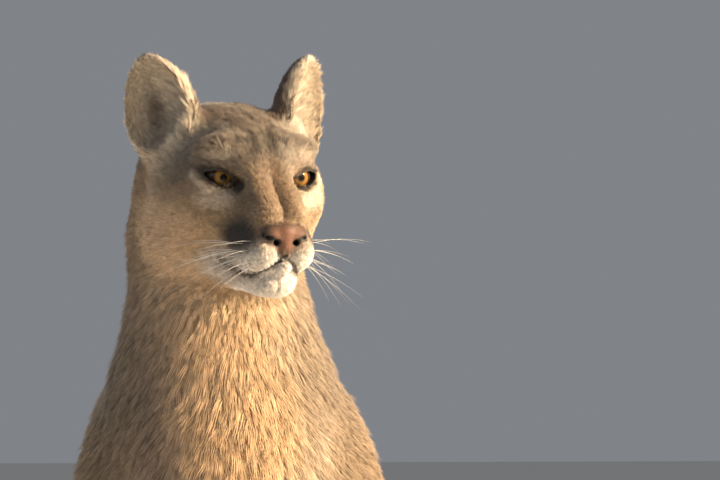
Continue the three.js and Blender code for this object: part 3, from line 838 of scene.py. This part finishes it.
    # painted shade inside the nostril holes
    lay("dark", bareNose * (1 - smoothStep(0.2, 1.8, nostrilDistance(q, hy, hz))))
    lay("dark", fields["lid"])
    lay("dark", fields["lips"] * 0.9)
    return np.clip(colour, 0, 1)


def lidOf(h):
    return lidGap(*eyeFrame(*h)[::2])


# above or below the slanting middle line of the lids
def lidSide(h):
    u, w = eyeFrame(*h)[::2]
    slant = math.radians(plan["lidOpening"][2])
    return w * math.cos(slant) - u * math.sin(slant)


coatColour = paint(skinSpots, skinNormals, fields)


# the lie of the coat: along the body, down the legs, back over the head from the nose
plainLie = {
    "trunk": (0, 0.72, -0.7),
    "neck": (0, 0.35, -0.94),
    "shoulder": (0, 0.35, -0.94),
    "foreleg": (0, 0.15, -1),
    "forepaw": (0, -0.9, -0.45),
    "haunch": (0, 0.35, -0.94),
    "hindfoot": (0, -1, -0.3),
}


def lieOf(spots, normals, fields):
    x, y, z = spots.T
    shares = fields["broad"]
    hx, hy, hz = fields["head"]
    way = np.zeros_like(spots)
    for name, v in plainLie.items():
        way += shares[name][:, None] * np.array(v)
    nearest = np.argmin(((spots[:, None, :] - tailPath[None, ::2, :]) ** 2).sum(2), axis=1) * 2
    tangent = np.gradient(tailPath, axis=0)
    tangent /= np.linalg.norm(tangent, axis=1)[:, None]
    way += shares["tail"][:, None] * tangent[nearest]
    h = np.stack([hx, hy, hz], 1)
    back = h - noseTip
    back[:, 1] += 14
    back /= np.linalg.norm(back, axis=1)[:, None]
    back = back + np.array((0, 0.35, -0.15))
    way += shares["head"][:, None] * (back @ headTurn.T)
    up = np.stack([np.sign(hx) * 0.5, np.full(len(x), 0.2), np.ones(len(x))], 1)
    way += shares["ear"][:, None] * (up @ headTurn.T)
    swirl = [wobble(x, y, z, size, seed) for size, seed in ((70, 11), (80, 12), (75, 13))]
    way += 0.22 * np.stack(swirl, 1)
    curl = 0.75 * (shares["neck"] + 0.4 * shares["trunk"] + 0.4 * shares["shoulder"])
    way += curl[:, None] * np.stack([wobble(x, y, z, 17, 21), 0 * x, 0.4 * wobble(x, y, z, 19, 22)], 1)
    way -= normals * (way * normals).sum(1)[:, None]
    return way / np.maximum(np.linalg.norm(way, axis=1), 1e-6)[:, None]


coatLie = lieOf(skinSpots, skinNormals, fields)


# unwrap: each region is laid out from the side it faces, packed on shelves
sheet = {"width": 2300.0, "gap": 8.0, "headScale": 2.4}


def unwrap(spots, faces, normals, shares):
    names = list(shares)
    region = np.argmax(np.stack([shares[n] for n in names], 1), axis=1)[faces[:, 0]]
    region = region * 2 + (spots[faces[:, 0], 0] > 0)
    facing = normals[faces].sum(1)
    axis = np.abs(facing).argmax(1)
    way = axis * 2 + (np.take_along_axis(facing, axis[:, None], 1)[:, 0] > 0)
    chart = region * 6 + way
    flat = [(1, 2), (0, 2), (0, 1)]
    uv = np.zeros((len(faces), 4, 2))
    cards = []
    for c in np.unique(chart):
        pick = chart == c
        a, b = flat[(c % 6) // 2]
        p = spots[faces[pick]][:, :, (a, b)]
        low = p.reshape(-1, 2).min(0)
        size = p.reshape(-1, 2).max(0) - low
        scale = sheet["headScale"] if names[c // 12] in ("head", "ear") else 1.0
        cards.append((size[1] * scale, size[0] * scale, c, low, scale, pick, (a, b)))
    cards.sort(key=lambda card: (-card[0], card[2]))
    width, gap = sheet["width"], sheet["gap"]
    x = y = shelf = 0.0
    for height, span, c, low, scale, pick, ab in cards:
        if x + span > width:
            x = 0.0
            y += shelf + gap
            shelf = 0.0
        p = spots[faces[pick]][:, :, ab]
        uv[pick] = (p - low) * scale + (x, y)
        x += span + gap
        shelf = max(shelf, height)
    return uv / max(width + gap, y + shelf + gap)


skinUv = unwrap(skinSpots, skinFaces, skinNormals, fields["shares"])


# meshes
def meshOf(name, spots, faces):
    mesh = bpy.data.meshes.new(name)
    mesh.vertices.add(len(spots))
    mesh.vertices.foreach_set("co", np.asarray(spots, np.float32).ravel())
    sides = faces.shape[1]
    mesh.loops.add(faces.size)
    mesh.loops.foreach_set("vertex_index", faces.astype(np.int32).ravel())
    mesh.polygons.add(len(faces))
    mesh.polygons.foreach_set("loop_start", np.arange(0, faces.size, sides, dtype=np.int32))
    mesh.update(calc_edges=True)
    mesh.shade_smooth()
    return mesh


def objectOf(name, mesh):
    made = bpy.data.objects.new(name, mesh)
    bpy.context.scene.collection.objects.link(made)
    return made


def putAttribute(mesh, name, kind, values):
    layer = mesh.attributes.new(name, kind, "POINT")
    field = {"FLOAT": "value", "FLOAT_VECTOR": "vector", "FLOAT_COLOR": "color"}[kind]
    layer.data.foreach_set(field, np.asarray(values, np.float32).ravel())


toStand = np.array(standShift)
skinMesh = meshOf("skin", (skinSpots + toStand) * mm, skinFaces)
uvLayer = skinMesh.uv_layers.new(name="OFBake")
uvLayer.data.foreach_set("uv", skinUv.astype(np.float32).ravel())
withAlpha = np.concatenate([coatColour, np.ones((len(coatColour), 1))], 1)
putAttribute(skinMesh, "coat", "FLOAT_COLOR", withAlpha)
putAttribute(skinMesh, "bare", "FLOAT", fields["bare"])
skin = objectOf("Skin", skinMesh)
print("skin made")


# materials
def newMaterial(name):
    material = bpy.data.materials.new(name)
    material.use_nodes = True
    return material, material.node_tree, material.node_tree.nodes["Principled BSDF"]


# each input is joined to a socket or set to a value
def fill(node, inputs):
    for key, value in inputs.items():
        if isinstance(value, bpy.types.NodeSocket):
            node.id_data.links.new(value, node.inputs[key])
        else:
            node.inputs[key].default_value = value


def addNode(tree, kind, inputs, **settings):
    node = tree.nodes.new(kind)
    for key, value in settings.items():
        setattr(node, key, value)
    fill(node, inputs)
    return node


def attributeOf(tree, name):
    return addNode(tree, "ShaderNodeAttribute", {}, attribute_name=name).outputs


def multiplied(tree, factor, a, b):
    inputs = {0: factor, 6: a, 7: b}
    node = addNode(tree, "ShaderNodeMix", inputs, data_type="RGBA", blend_type="MULTIPLY")
    return node.outputs[2]


def noiseOf(tree, place, scale):
    inputs = {"Scale": scale, "Detail": 3.0, "Vector": place}
    return addNode(tree, "ShaderNodeTexNoise", inputs).outputs["Fac"]


def rampOf(tree, value, stops):
    ramp = addNode(tree, "ShaderNodeValToRGB", {"Fac": value})
    elements = ramp.color_ramp.elements
    for element, (position, tone) in zip(elements, (stops[0], stops[-1])):
        element.position = position
        element.color = (*tone, 1)
    for position, tone in stops[1:-1]:
        elements.new(position).color = (*tone, 1)
    return ramp.outputs["Color"]


def grey(value):
    return (value, value, value)


def skinMaterial():
    look = {"roughness": 0.62, "grain": 900, "bump": 0.35, "bumpHeight": 0.0006, "shade": 0.55}
    material, tree, shader = newMaterial("skin")
    place = addNode(tree, "ShaderNodeTexCoord", {}).outputs["Object"]
    tone = attributeOf(tree, "coat")["Color"]
    grain = noiseOf(tree, place, look["grain"])
    shade = rampOf(tree, grain, [(0.3, grey(look["shade"])), (0.75, grey(1))])
    relief = {"Strength": look["bump"], "Distance": look["bumpHeight"], "Height": grain}
    fill(shader, {
        "Base Color": multiplied(tree, 1.0, tone, shade),
        "Roughness": look["roughness"],
        "Normal": addNode(tree, "ShaderNodeBump", relief).outputs["Normal"],
    })
    return material


def furMaterial():
    look = {
        "roughness": 0.55,
        "specular": 0.35,
        "sheen": 0.25,
        "sheenRoughness": 0.4,
        "rootShade": 0.5,
        "tipLight": 1.25,
        "vary": 0.42,  # how far single tufts differ from the skin's colour
        "mostly": 0.88,
    }
    material, tree, shader = newMaterial("fur")
    tone = attributeOf(tree, "coat")["Color"]
    root, light = look["rootShade"], look["tipLight"]
    shade = rampOf(tree, attributeOf(tree, "along")["Fac"], [
        (0.0, (root, root * 0.95, root * 0.9)),
        (0.45, grey(1)),
        (1.0, (light, light, light * 1.03)),
    ])
    spread = rampOf(tree, attributeOf(tree, "vary")["Fac"], [
        (0.0, grey(1 - look["vary"])),
        (0.25, grey(look["mostly"])),
        (0.6, grey(1)),
        (1.0, grey(1 + look["vary"])),
    ])
    fill(shader, {
        "Base Color": multiplied(tree, 1.0, multiplied(tree, 1.0, tone, shade), spread),
        "Roughness": look["roughness"],
        "Specular IOR Level": look["specular"],
        "Sheen Weight": look["sheen"],
        "Sheen Roughness": look["sheenRoughness"],
    })
    return material


skinLook = skinMaterial()
furLook = furMaterial()
skin.data.materials.append(skinLook)


# tufts: a few flat blades that leave one root, one unit long
tuft = {
    "spread": 0.9,
    "fan": 0.32,
    "fanReach": 2.2,
    "stray": 0.2,
    "blade": 0.36,
    "bladeVary": (0.75, 1.2),
    "longVary": (0.72, 1.0),
    "rootShift": (-0.12, 0.06),
    "arch": 0.10,
}


def tuftMesh(name, blades, bent, seed):
    rng = random.Random(seed)
    spots, faces, along = [], [], []
    for b in range(blades):
        side = (b + 0.5) / blades * 2 - 1 + rng.uniform(-tuft["stray"], tuft["stray"])
        x0 = side * tuft["spread"]
        length = rng.uniform(*tuft["longVary"])
        lean = side * tuft["fan"] + rng.uniform(-tuft["stray"], tuft["stray"])
        tipX = x0 + math.sin(lean) * tuft["fanReach"]
        half = tuft["blade"] * rng.uniform(*tuft["bladeVary"])
        start = len(spots)
        y0 = rng.uniform(*tuft["rootShift"])
        # a bent blade has a row of points halfway; rows are share of the length, x, half width, height
        rows = [(0.0, x0, half, -0.05)]
        corners = [(0, 1, 2)]
        if bent:
            rows = [(0.0, x0, half, -0.06), (0.5, (x0 + tipX) / 2, half * 0.85, tuft["arch"])]
            corners = [(0, 1, 3), (0, 3, 2), (2, 3, 4)]
        for t, x, w, z in rows:
            spots += [(x - w, y0 + t * length, z), (x + w, y0 + t * length, z)]
            along += [t, t]
        spots.append((tipX, y0 + length, 0.06 if bent else 0.02))
        along.append(1.0)
        faces += [tuple(start + c for c in face) for face in corners]
    mesh = meshOf(name, np.array(spots), np.array(faces))
    putAttribute(mesh, "along", "FLOAT", along)
    local = np.array(spots)[:, :2] * (0.3, 1.0) - (0.0, 0.5)
    putAttribute(mesh, "patch", "FLOAT_VECTOR", np.column_stack([local, np.zeros(len(local))]))
    return mesh


tuftShapes = 4  # different tufts in a set


def tuftSet(name, blades, bent):
    group = bpy.data.collections.new(name)
    for i in range(tuftShapes):
        label = f"{name}{i}"
        group.objects.link(bpy.data.objects.new(label, tuftMesh(label, blades, bent, 40 + i)))
    return group


def addSocket(tree, name, kind, value=None):
    socket = tree.interface.new_socket(name, in_out="INPUT", socket_type=kind)
    if value is not None:
        socket.default_value = value
    return socket


def named(tree, name, kind):
    node = addNode(tree, "GeometryNodeInputNamedAttribute", {"Name": name}, data_type=kind)
    return node.outputs["Attribute"]


def mathOf(tree, operation, a, b):
    return addNode(tree, "ShaderNodeMath", {0: a, 1: b}, operation=operation).outputs[0]


# a random value for each tuft; the offset keeps the values apart from one another
def randomOf(tree, kind, low, high, seed, offset):
    least, most, made = {"FLOAT": (2, 3, 1), "INT": (4, 5, 2)}[kind]
    inputs = {least: low, most: high, "Seed": mathOf(tree, "ADD", seed, offset)}
    return addNode(tree, "FunctionNodeRandomValue", inputs, data_type=kind).outputs[made]


tuftVary = {"lift": (0.55, 1.5), "twist": (-1.0, 1.0), "long": (0.7, 1.2)}
patchSize = 0.003  # of a tuft in the unwrap


def coatTree():
    tree = bpy.data.node_groups.new("coatTufts", "GeometryNodeTree")
    addSocket(tree, "Skin", "NodeSocketGeometry")
    addSocket(tree, "Tufts", "NodeSocketCollection")
    addSocket(tree, "Per square metre", "NodeSocketFloat", 50000.0)
    addSocket(tree, "Length", "NodeSocketFloat", 1.0)
    addSocket(tree, "Twist", "NodeSocketFloat", 0.25)
    addSocket(tree, "Seed", "NodeSocketInt", 1)
    addSocket(tree, "Material", "NodeSocketMaterial")
    tree.interface.new_socket("Coat", in_out="OUTPUT", socket_type="NodeSocketGeometry")
    given = tree.nodes.new("NodeGroupInput").outputs

    def chance(kind, low, high, offset):
        return randomOf(tree, kind, low, high, given["Seed"], offset)

    def varied(value, name, offset):
        return mathOf(tree, "MULTIPLY", value, chance("FLOAT", *tuftVary[name], offset))

    # roots on the skin, each with its own share of lightness
    spread = addNode(tree, "GeometryNodeDistributePointsOnFaces", {
        "Mesh": given["Skin"],
        "Density": mathOf(tree, "MULTIPLY", given["Per square metre"], named(tree, "thick", "FLOAT")),
        "Seed": given["Seed"],
    }, distribute_method="RANDOM")
    keep = addNode(tree, "GeometryNodeStoreNamedAttribute", {}, data_type="FLOAT", domain="POINT")
    lightness = chance("FLOAT", 0.0, 1.0, 1)
    fill(keep, {"Name": "vary", "Geometry": spread.outputs["Points"], "Value": lightness})
    # each tuft lies along the coat, lifted and twisted a little
    axes = addNode(tree, "FunctionNodeAxesToRotation", {
        "Primary Axis": named(tree, "up", "FLOAT_VECTOR"),
        "Secondary Axis": named(tree, "lie", "FLOAT_VECTOR"),
    }, primary_axis="Z", secondary_axis="Y")
    lift = varied(named(tree, "lift", "FLOAT"), "lift", 2)
    turn = addNode(tree, "ShaderNodeCombineXYZ", {0: lift, 2: varied(given["Twist"], "twist", 3)})
    euler = addNode(tree, "FunctionNodeEulerToRotation", {0: turn.outputs[0]})
    turns = {0: axes.outputs[0], 1: euler.outputs[0]}
    rotate = addNode(tree, "FunctionNodeRotateRotation", turns, rotation_space="LOCAL")
    long = mathOf(tree, "MULTIPLY", varied(named(tree, "long", "FLOAT"), "long", 4), given["Length"])
    scale = addNode(tree, "ShaderNodeCombineXYZ", {0: named(tree, "wide", "FLOAT"), 1: long, 2: long})
    choices = {"Collection": given["Tufts"], "Separate Children": True, "Reset Children": True}
    pick = addNode(tree, "GeometryNodeCollectionInfo", choices, transform_space="ORIGINAL")
    put = addNode(tree, "GeometryNodeInstanceOnPoints", {
        "Points": keep.outputs[0],
        "Instance": pick.outputs[0],
        "Pick Instance": True,
        "Instance Index": chance("INT", 0, tuftShapes - 1, 5),
        "Rotation": rotate.outputs[0],
        "Scale": scale.outputs[0],
    })
    real = addNode(tree, "GeometryNodeRealizeInstances", {0: put.outputs[0]})
    # each tuft is a small patch of the unwrap at its root
    patch = addNode(tree, "ShaderNodeVectorMath", {}, operation="MULTIPLY_ADD")
    fill(patch, {
        0: named(tree, "patch", "FLOAT_VECTOR"),
        1: (patchSize, patchSize, 0.0),
        2: named(tree, "OFBake", "FLOAT_VECTOR"),
    })
    store = addNode(tree, "GeometryNodeStoreNamedAttribute", {}, data_type="FLOAT2", domain="CORNER")
    fill(store, {"Name": "OFBake", "Geometry": real.outputs[0], "Value": patch.outputs[0]})
    dressed = {"Geometry": store.outputs[0], "Material": given["Material"]}
    dress = addNode(tree, "GeometryNodeSetMaterial", dressed)
    addNode(tree, "NodeGroupOutput", {0: dress.outputs[0]})
    return tree


def growCoat(name, tree, group, mask, settings):
    # hair close to the floor is short, so that little of it reaches below
    lengths = fields["length"] * smoothStep(-8, 26, skinSpots[:, 2]) * mm
    carrier = skinMesh.copy()
    carrier.materials.clear()
    putAttribute(carrier, "thick", "FLOAT", np.clip(mask, 0, 1))
    putAttribute(carrier, "up", "FLOAT_VECTOR", skinNormals)
    putAttribute(carrier, "lie", "FLOAT_VECTOR", coatLie)
    putAttribute(carrier, "long", "FLOAT", lengths)
    putAttribute(carrier, "wide", "FLOAT", fields["width"] * mm)
    putAttribute(carrier, "lift", "FLOAT", np.radians(fields["lift"]))
    holder = objectOf(name + "Carrier", carrier)
    modifier = holder.modifiers.new("coat", "NODES")
    modifier.node_group = tree
    keys = {item.name: item.identifier for item in tree.interface.items_tree if item.in_out == "INPUT"}
    modifier[keys["Tufts"]] = group
    modifier[keys["Material"]] = furLook
    for label, value in settings.items():
        modifier[keys[label]] = value
    graph = bpy.context.evaluated_depsgraph_get()
    mesh = bpy.data.meshes.new_from_object(holder.evaluated_get(graph))
    bpy.data.objects.remove(holder)
    bpy.data.meshes.remove(carrier)
    for extra in ("up", "lie", "long", "wide", "lift", "thick", "patch", "bare"):
        if extra in mesh.attributes:
            mesh.attributes.remove(mesh.attributes[extra])
    mesh.name = name
    piece = objectOf(name, mesh)
    print(name, len(mesh.polygons))
    return piece


def areaOf(mask):
    a = skinSpots[skinFaces[:, 2]] - skinSpots[skinFaces[:, 0]]
    b = skinSpots[skinFaces[:, 3]] - skinSpots[skinFaces[:, 1]]
    area = np.linalg.norm(np.cross(a, b), axis=1) / 2 * mm * mm
    return float((area * mask[skinFaces].mean(1)).sum())


shares = fields["shares"]
hx, hy, hz = fields["head"]
haired = 1 - np.clip(fields["bare"] * 1.5, 0, 1)
off = smoothStep(1.0, 7.0, skinSpots[:, 2])  # no hair under the soles
face = np.clip(shares["head"] * smoothStep(115, 75, hy), 0, 1)
ears = shares["ear"]
x, y, z = skinSpots.T
ruffs = np.clip(1 - face - ears, 0, 1) * smoothStep(470, 500, z)
throat = ruffs * smoothStep(0.2, -0.25, skinNormals[:, 1])
nape = ruffs - throat
rest = np.clip(1 - face - ears - ruffs, 0, 1)
feet = rest * np.clip(shares["forepaw"] + shares["hindfoot"] + shares["foreleg"], 0, 1)
tailPart = rest * shares["tail"]
flank = np.clip(rest - feet - tailPart, 0, 1)
leftHalf = (x > 0).astype(float)
upper = smoothStep(255, 265, z)

tufts = {
    # kind: (tuft set, its triangles in each tuft)
    "fine": (tuftSet("fineTuft", 6, False), 6),
    "long": (tuftSet("longTuft", 4, True), 12),
}
coats = {
    # name: (mask, kind of tuft, triangles in all, twist)
    "CoatFaceLeft": (face * (hx > 0), "fine", 115000, 0.20),
    "CoatFaceRight": (face * (hx <= 0), "fine", 115000, 0.20),
    "CoatEars": (ears, "fine", 70000, 0.35),
    "CoatThroatLeft": (throat * leftHalf, "long", 175000, 0.30),
    "CoatThroatRight": (throat * (1 - leftHalf), "long", 175000, 0.30),
    "CoatNape": (nape, "long", 150000, 0.22),
    "CoatFlankLeftUpper": (flank * leftHalf * upper, "fine", 120000, 0.22),
    "CoatFlankLeftLower": (flank * leftHalf * (1 - upper), "fine", 120000, 0.22),
    "CoatFlankRightUpper": (flank * (1 - leftHalf) * upper, "fine", 120000, 0.22),
    "CoatFlankRightLower": (flank * (1 - leftHalf) * (1 - upper), "fine", 120000, 0.22),
    "CoatLegs": (feet, "fine", 110000, 0.20),
    "CoatTail": (tailPart, "fine", 60000, 0.20),
}
thin = 1.0
tree = coatTree()
coatPieces = []
for place, (name, (mask, kind, budget, twist)) in enumerate(coats.items()):
    group, each = tufts[kind]
    mask = mask * haired * off
    perSquare = budget * thin / each / max(areaOf(mask), 1e-6)
    settings = {"Per square metre": perSquare, "Length": 1.0, "Twist": twist, "Seed": 11 + place * 10}
    coatPieces.append(growCoat(name, tree, group, mask, settings))
print("coat grown", sum(len(p.data.polygons) for p in coatPieces))


# eyes
eyeLook = {
    "iris": 8.4,
    "pupil": 3.0,
    "bulge": 0.9,
    "gazeOut": 6,
    "rings": 48,
    "around": 64,
    "roughness": 0.5,
    "specular": 0.05,
    "wet": 0.45,
    "wetRoughness": 0.015,
}


def eyeMaterial():
    material, tree, shader = newMaterial("eye")
    p, i = eyeLook["pupil"] / plan["eyeRadius"], eyeLook["iris"] / plan["eyeRadius"]
    base = rampOf(tree, attributeOf(tree, "ring")["Fac"], [
        (p - 0.02, (0.004, 0.003, 0.003)),
        (p + 0.015, (0.22, 0.11, 0.025)),
        (p + 0.12, (0.46, 0.25, 0.055)),
        (i - 0.10, (0.40, 0.19, 0.04)),
        (i - 0.02, (0.08, 0.04, 0.018)),
        (i + 0.05, (0.035, 0.02, 0.014)),
        (i + 0.30, (0.11, 0.065, 0.045)),
    ])
    streaks = noiseOf(tree, attributeOf(tree, "spoke")["Vector"], 9.0)
    shade = rampOf(tree, streaks, [(0.3, (0.55, 0.5, 0.45)), (0.7, grey(1.1))])
    fill(shader, {
        "Base Color": multiplied(tree, 0.8, base, shade),
        "Roughness": eyeLook["roughness"],
        "Specular IOR Level": eyeLook["specular"],
        "Coat Weight": eyeLook["wet"],
        "Coat Roughness": eyeLook["wetRoughness"],
    })
    return material


# rings of points from the pupil to the back, bulged over the iris
def buildEye(name, node, side):
    centre = middleOf(node)
    radius = (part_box(node)[1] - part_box(node)[0]).z / 2
    rings, around = eyeLook["rings"], eyeLook["around"]
    spots, ring, spoke = [(0, -radius - eyeLook["bulge"] * mm, 0)], [0.0], [(0, 0, 0)]
    for i in range(1, rings):
        angle = math.pi * i / rings
        out, ahead = math.sin(angle), math.cos(angle)
        bulge = eyeLook["bulge"] * mm * max(0, math.cos(min(angle * 1.9, math.pi / 2)))
        for j in range(around):
            turn = 2 * math.pi * j / around
            r = radius + bulge
            spots.append((out * math.cos(turn) * r, -ahead * r, out * math.sin(turn) * r))
            ring.append(out if angle < math.pi / 2 else 2 - out)
            spoke.append((math.cos(turn) * 1.5, math.sin(turn) * 1.5, angle * 0.8))
    spots.append((0, radius, 0))
    ring.append(2.0)
    spoke.append((0, 0, 0))
    faces = []
    for j in range(around):
        k = (j + 1) % around
        faces.append((0, 1 + k, 1 + j))
        last = 1 + (rings - 2) * around
        faces.append((last + j, last + k, len(spots) - 1))
        for i in range(rings - 2):
            a = 1 + i * around
            b = a + around
            faces.append((a + j, a + k, b + k))
            faces.append((a + j, b + k, b + j))
    turn = Matrix(headTurn.tolist()) @ Matrix.Rotation(side * math.radians(eyeLook["gazeOut"]), 3, "Z")
    placed = np.array(spots) @ np.array(turn).T + np.array(centre)
    mesh = meshOf(name, placed, np.array(faces))
    putAttribute(mesh, "ring", "FLOAT", ring)
    putAttribute(mesh, "spoke", "FLOAT_VECTOR", spoke)
    return objectOf(name, mesh)


eyePaint = eyeMaterial()
eyes = []
for name, node, side in (("EyeLeft", "eye_left", 1), ("EyeRight", "eye_right", -1)):
    eye = buildEye(name, node, side)
    eye.data.materials.append(eyePaint)
    eyes.append((eye, node))


# whiskers: thin tapered hairs in rows on the muzzle and over the eyes
browHair = {"each": 3, "long": (13, 20), "thick": 0.12, "droop": -0.1}


def whiskerMesh():
    steps = 10
    taper = 0.92
    spots, faces = [], []
    for i in range(steps + 1):
        t = i / steps
        r = 1 - t * taper
        for k in range(3):
            a = 2 * math.pi * k / 3
            spots.append((math.cos(a) * r, t, math.sin(a) * r))
    for i in range(steps):
        for k in range(3):
            a, b = i * 3 + k, i * 3 + (k + 1) % 3
            faces += [(a, b, b + 3), (a, b + 3, a + 3)]
    return np.array(spots), np.array(faces)


def buildWhiskers():
    rng = random.Random(5)
    base, faces = whiskerMesh()
    allSpots, allFaces = [], []

    def place(root, way, length, thick, droop):
        way = np.array(way, float)
        way /= np.linalg.norm(way)
        side = np.cross(way, (0, 0, 1))
        side /= np.linalg.norm(side)
        rise = np.cross(side, way)
        t = base[:, 1:2]
        p = root + way * t * length + side * base[:, 0:1] * thick + rise * base[:, 2:3] * thick
        p = p - np.array((0, 0, 1)) * droop * length * t ** 2
        allFaces.append(faces + sum(len(s) for s in allSpots))
        allSpots.append(p)

    for side in (1, -1):
        flip = (side, 1, 1)
        for row in range(whisker["rows"]):
            for i in range(whisker["each"]):
                root = rootSpots[row * whisker["each"] + i]
                way = (1, -0.25 + 0.35 * i, 0.16 - 0.2 * row + rng.uniform(-0.12, 0.12))
                length = whisker["long"] * rng.uniform(0.5, 1.0) * (0.7 + 0.09 * i)
                place(root * flip, np.array(way) * flip, length, whisker["thick"], whisker["droop"])
        for i in range(browHair["each"]):
            root = ontoSkull([(28 + 4 * i, -6, 24 + i)], 0.5)[0]
            way = np.array((0.1 + 0.25 * i, -0.3, 0.8))
            length = rng.uniform(*browHair["long"])
            place(root * flip, way * flip, length, browHair["thick"], browHair["droop"])
    spots = np.concatenate(allSpots) @ headTurn.T + np.array(eyeMiddle)
    return meshOf("Whiskers", spots * mm, np.concatenate(allFaces))


whiskers = objectOf("Whiskers", buildWhiskers())
hairLook, hairShader = newMaterial("whisker")[::2]
fill(hairShader, {"Base Color": (0.85, 0.82, 0.76, 1), "Roughness": 0.35})
whiskers.data.materials.append(hairLook)
print("eyes and whiskers made")

# every piece on the frame
flesh = [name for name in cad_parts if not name.startswith("eye")]
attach(skin, "root")
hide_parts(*flesh)
for piece in coatPieces:
    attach(piece, "root")
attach(whiskers, "root")
for eye, node in eyes:
    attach(eye, "root")
    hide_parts(node)

# stage and light
stage = {"floor": (0.74, 0.72, 0.69), "side": 30, "world": (0.72, 0.76, 0.82), "worldStrength": 0.30}
bpy.ops.mesh.primitive_plane_add(size=stage["side"], location=(0, 0, 0))
floor = bpy.context.object
floor.name = "Floor"
floorLook, floorShader = newMaterial("floor")[::2]
fill(floorShader, {"Base Color": (*stage["floor"], 1), "Roughness": 0.85})
floor.data.materials.append(floorLook)

world = bpy.data.worlds.new("world")
bpy.context.scene.world = world
world.use_nodes = True
sky = {"Color": (*stage["world"], 1), "Strength": stage["worldStrength"]}
fill(world.node_tree.nodes["Background"], sky)

lamps = {
    # name: (azimuth, height in degrees, distance, size, watts, colour)
    "Key": (68, 22, 3.2, 0.6, 250, (1.0, 0.80, 0.56)),
    "Fill": (-60, 25, 3.6, 2.4, 12, (0.86, 0.92, 1.0)),
    "Back": (170, 40, 3.4, 1.6, 50, (1.0, 0.88, 0.74)),
}


# the way from the animal to a lamp or camera, 0 straight ahead of it
def wayTo(azimuth, height):
    a, e = math.radians(azimuth), math.radians(height)
    return Vector((math.sin(a) * math.cos(e), -math.cos(a) * math.cos(e), math.sin(e)))


aim = Vector((0, -0.1, 0.6))
for name, (azimuth, height, distance, size, watts, tone) in lamps.items():
    back = wayTo(azimuth, height)
    data = bpy.data.lights.new(name, "AREA")
    data.shape = "DISK"
    data.size = size
    data.energy = watts
    data.color = tone
    lamp = objectOf(name, data)
    lamp.location = aim + back * distance
    lamp.rotation_mode = "QUATERNION"
    lamp.rotation_quaternion = back.to_track_quat("Z", "Y")

# the photo's viewing angle: the eyes' middle falls at the same spot of the frame
view = {
    "azimuth": -5.0,
    "elevation": 0.0,
    "lens": 300,
    "sensor": 36,
    "perPixel": 0.00088,
    "eyeAt": (256.5, 177),
    "frame": (720, 480),
}
back = wayTo(view["azimuth"], view["elevation"])
turn = math.radians(view["azimuth"])
right = Vector((math.cos(turn), math.sin(turn), 0))
up = back.cross(right)
wide, tall = view["frame"]
target = eyeMiddle * mm + right * (wide / 2 - view["eyeAt"][0]) * view["perPixel"]
target = target - up * (tall / 2 - view["eyeAt"][1]) * view["perPixel"]
camera = objectOf("Camera", bpy.data.cameras.new("Camera"))
camera.data.lens = view["lens"]
camera.data.clip_end = 100
camera.location = target + back * (view["lens"] / view["sensor"] * wide * view["perPixel"])
camera.rotation_mode = "QUATERNION"
camera.rotation_quaternion = back.to_track_quat("Z", "Y")
bpy.context.scene.camera = camera
bpy.context.scene.view_settings.view_transform = "Standard"
print("stage set")
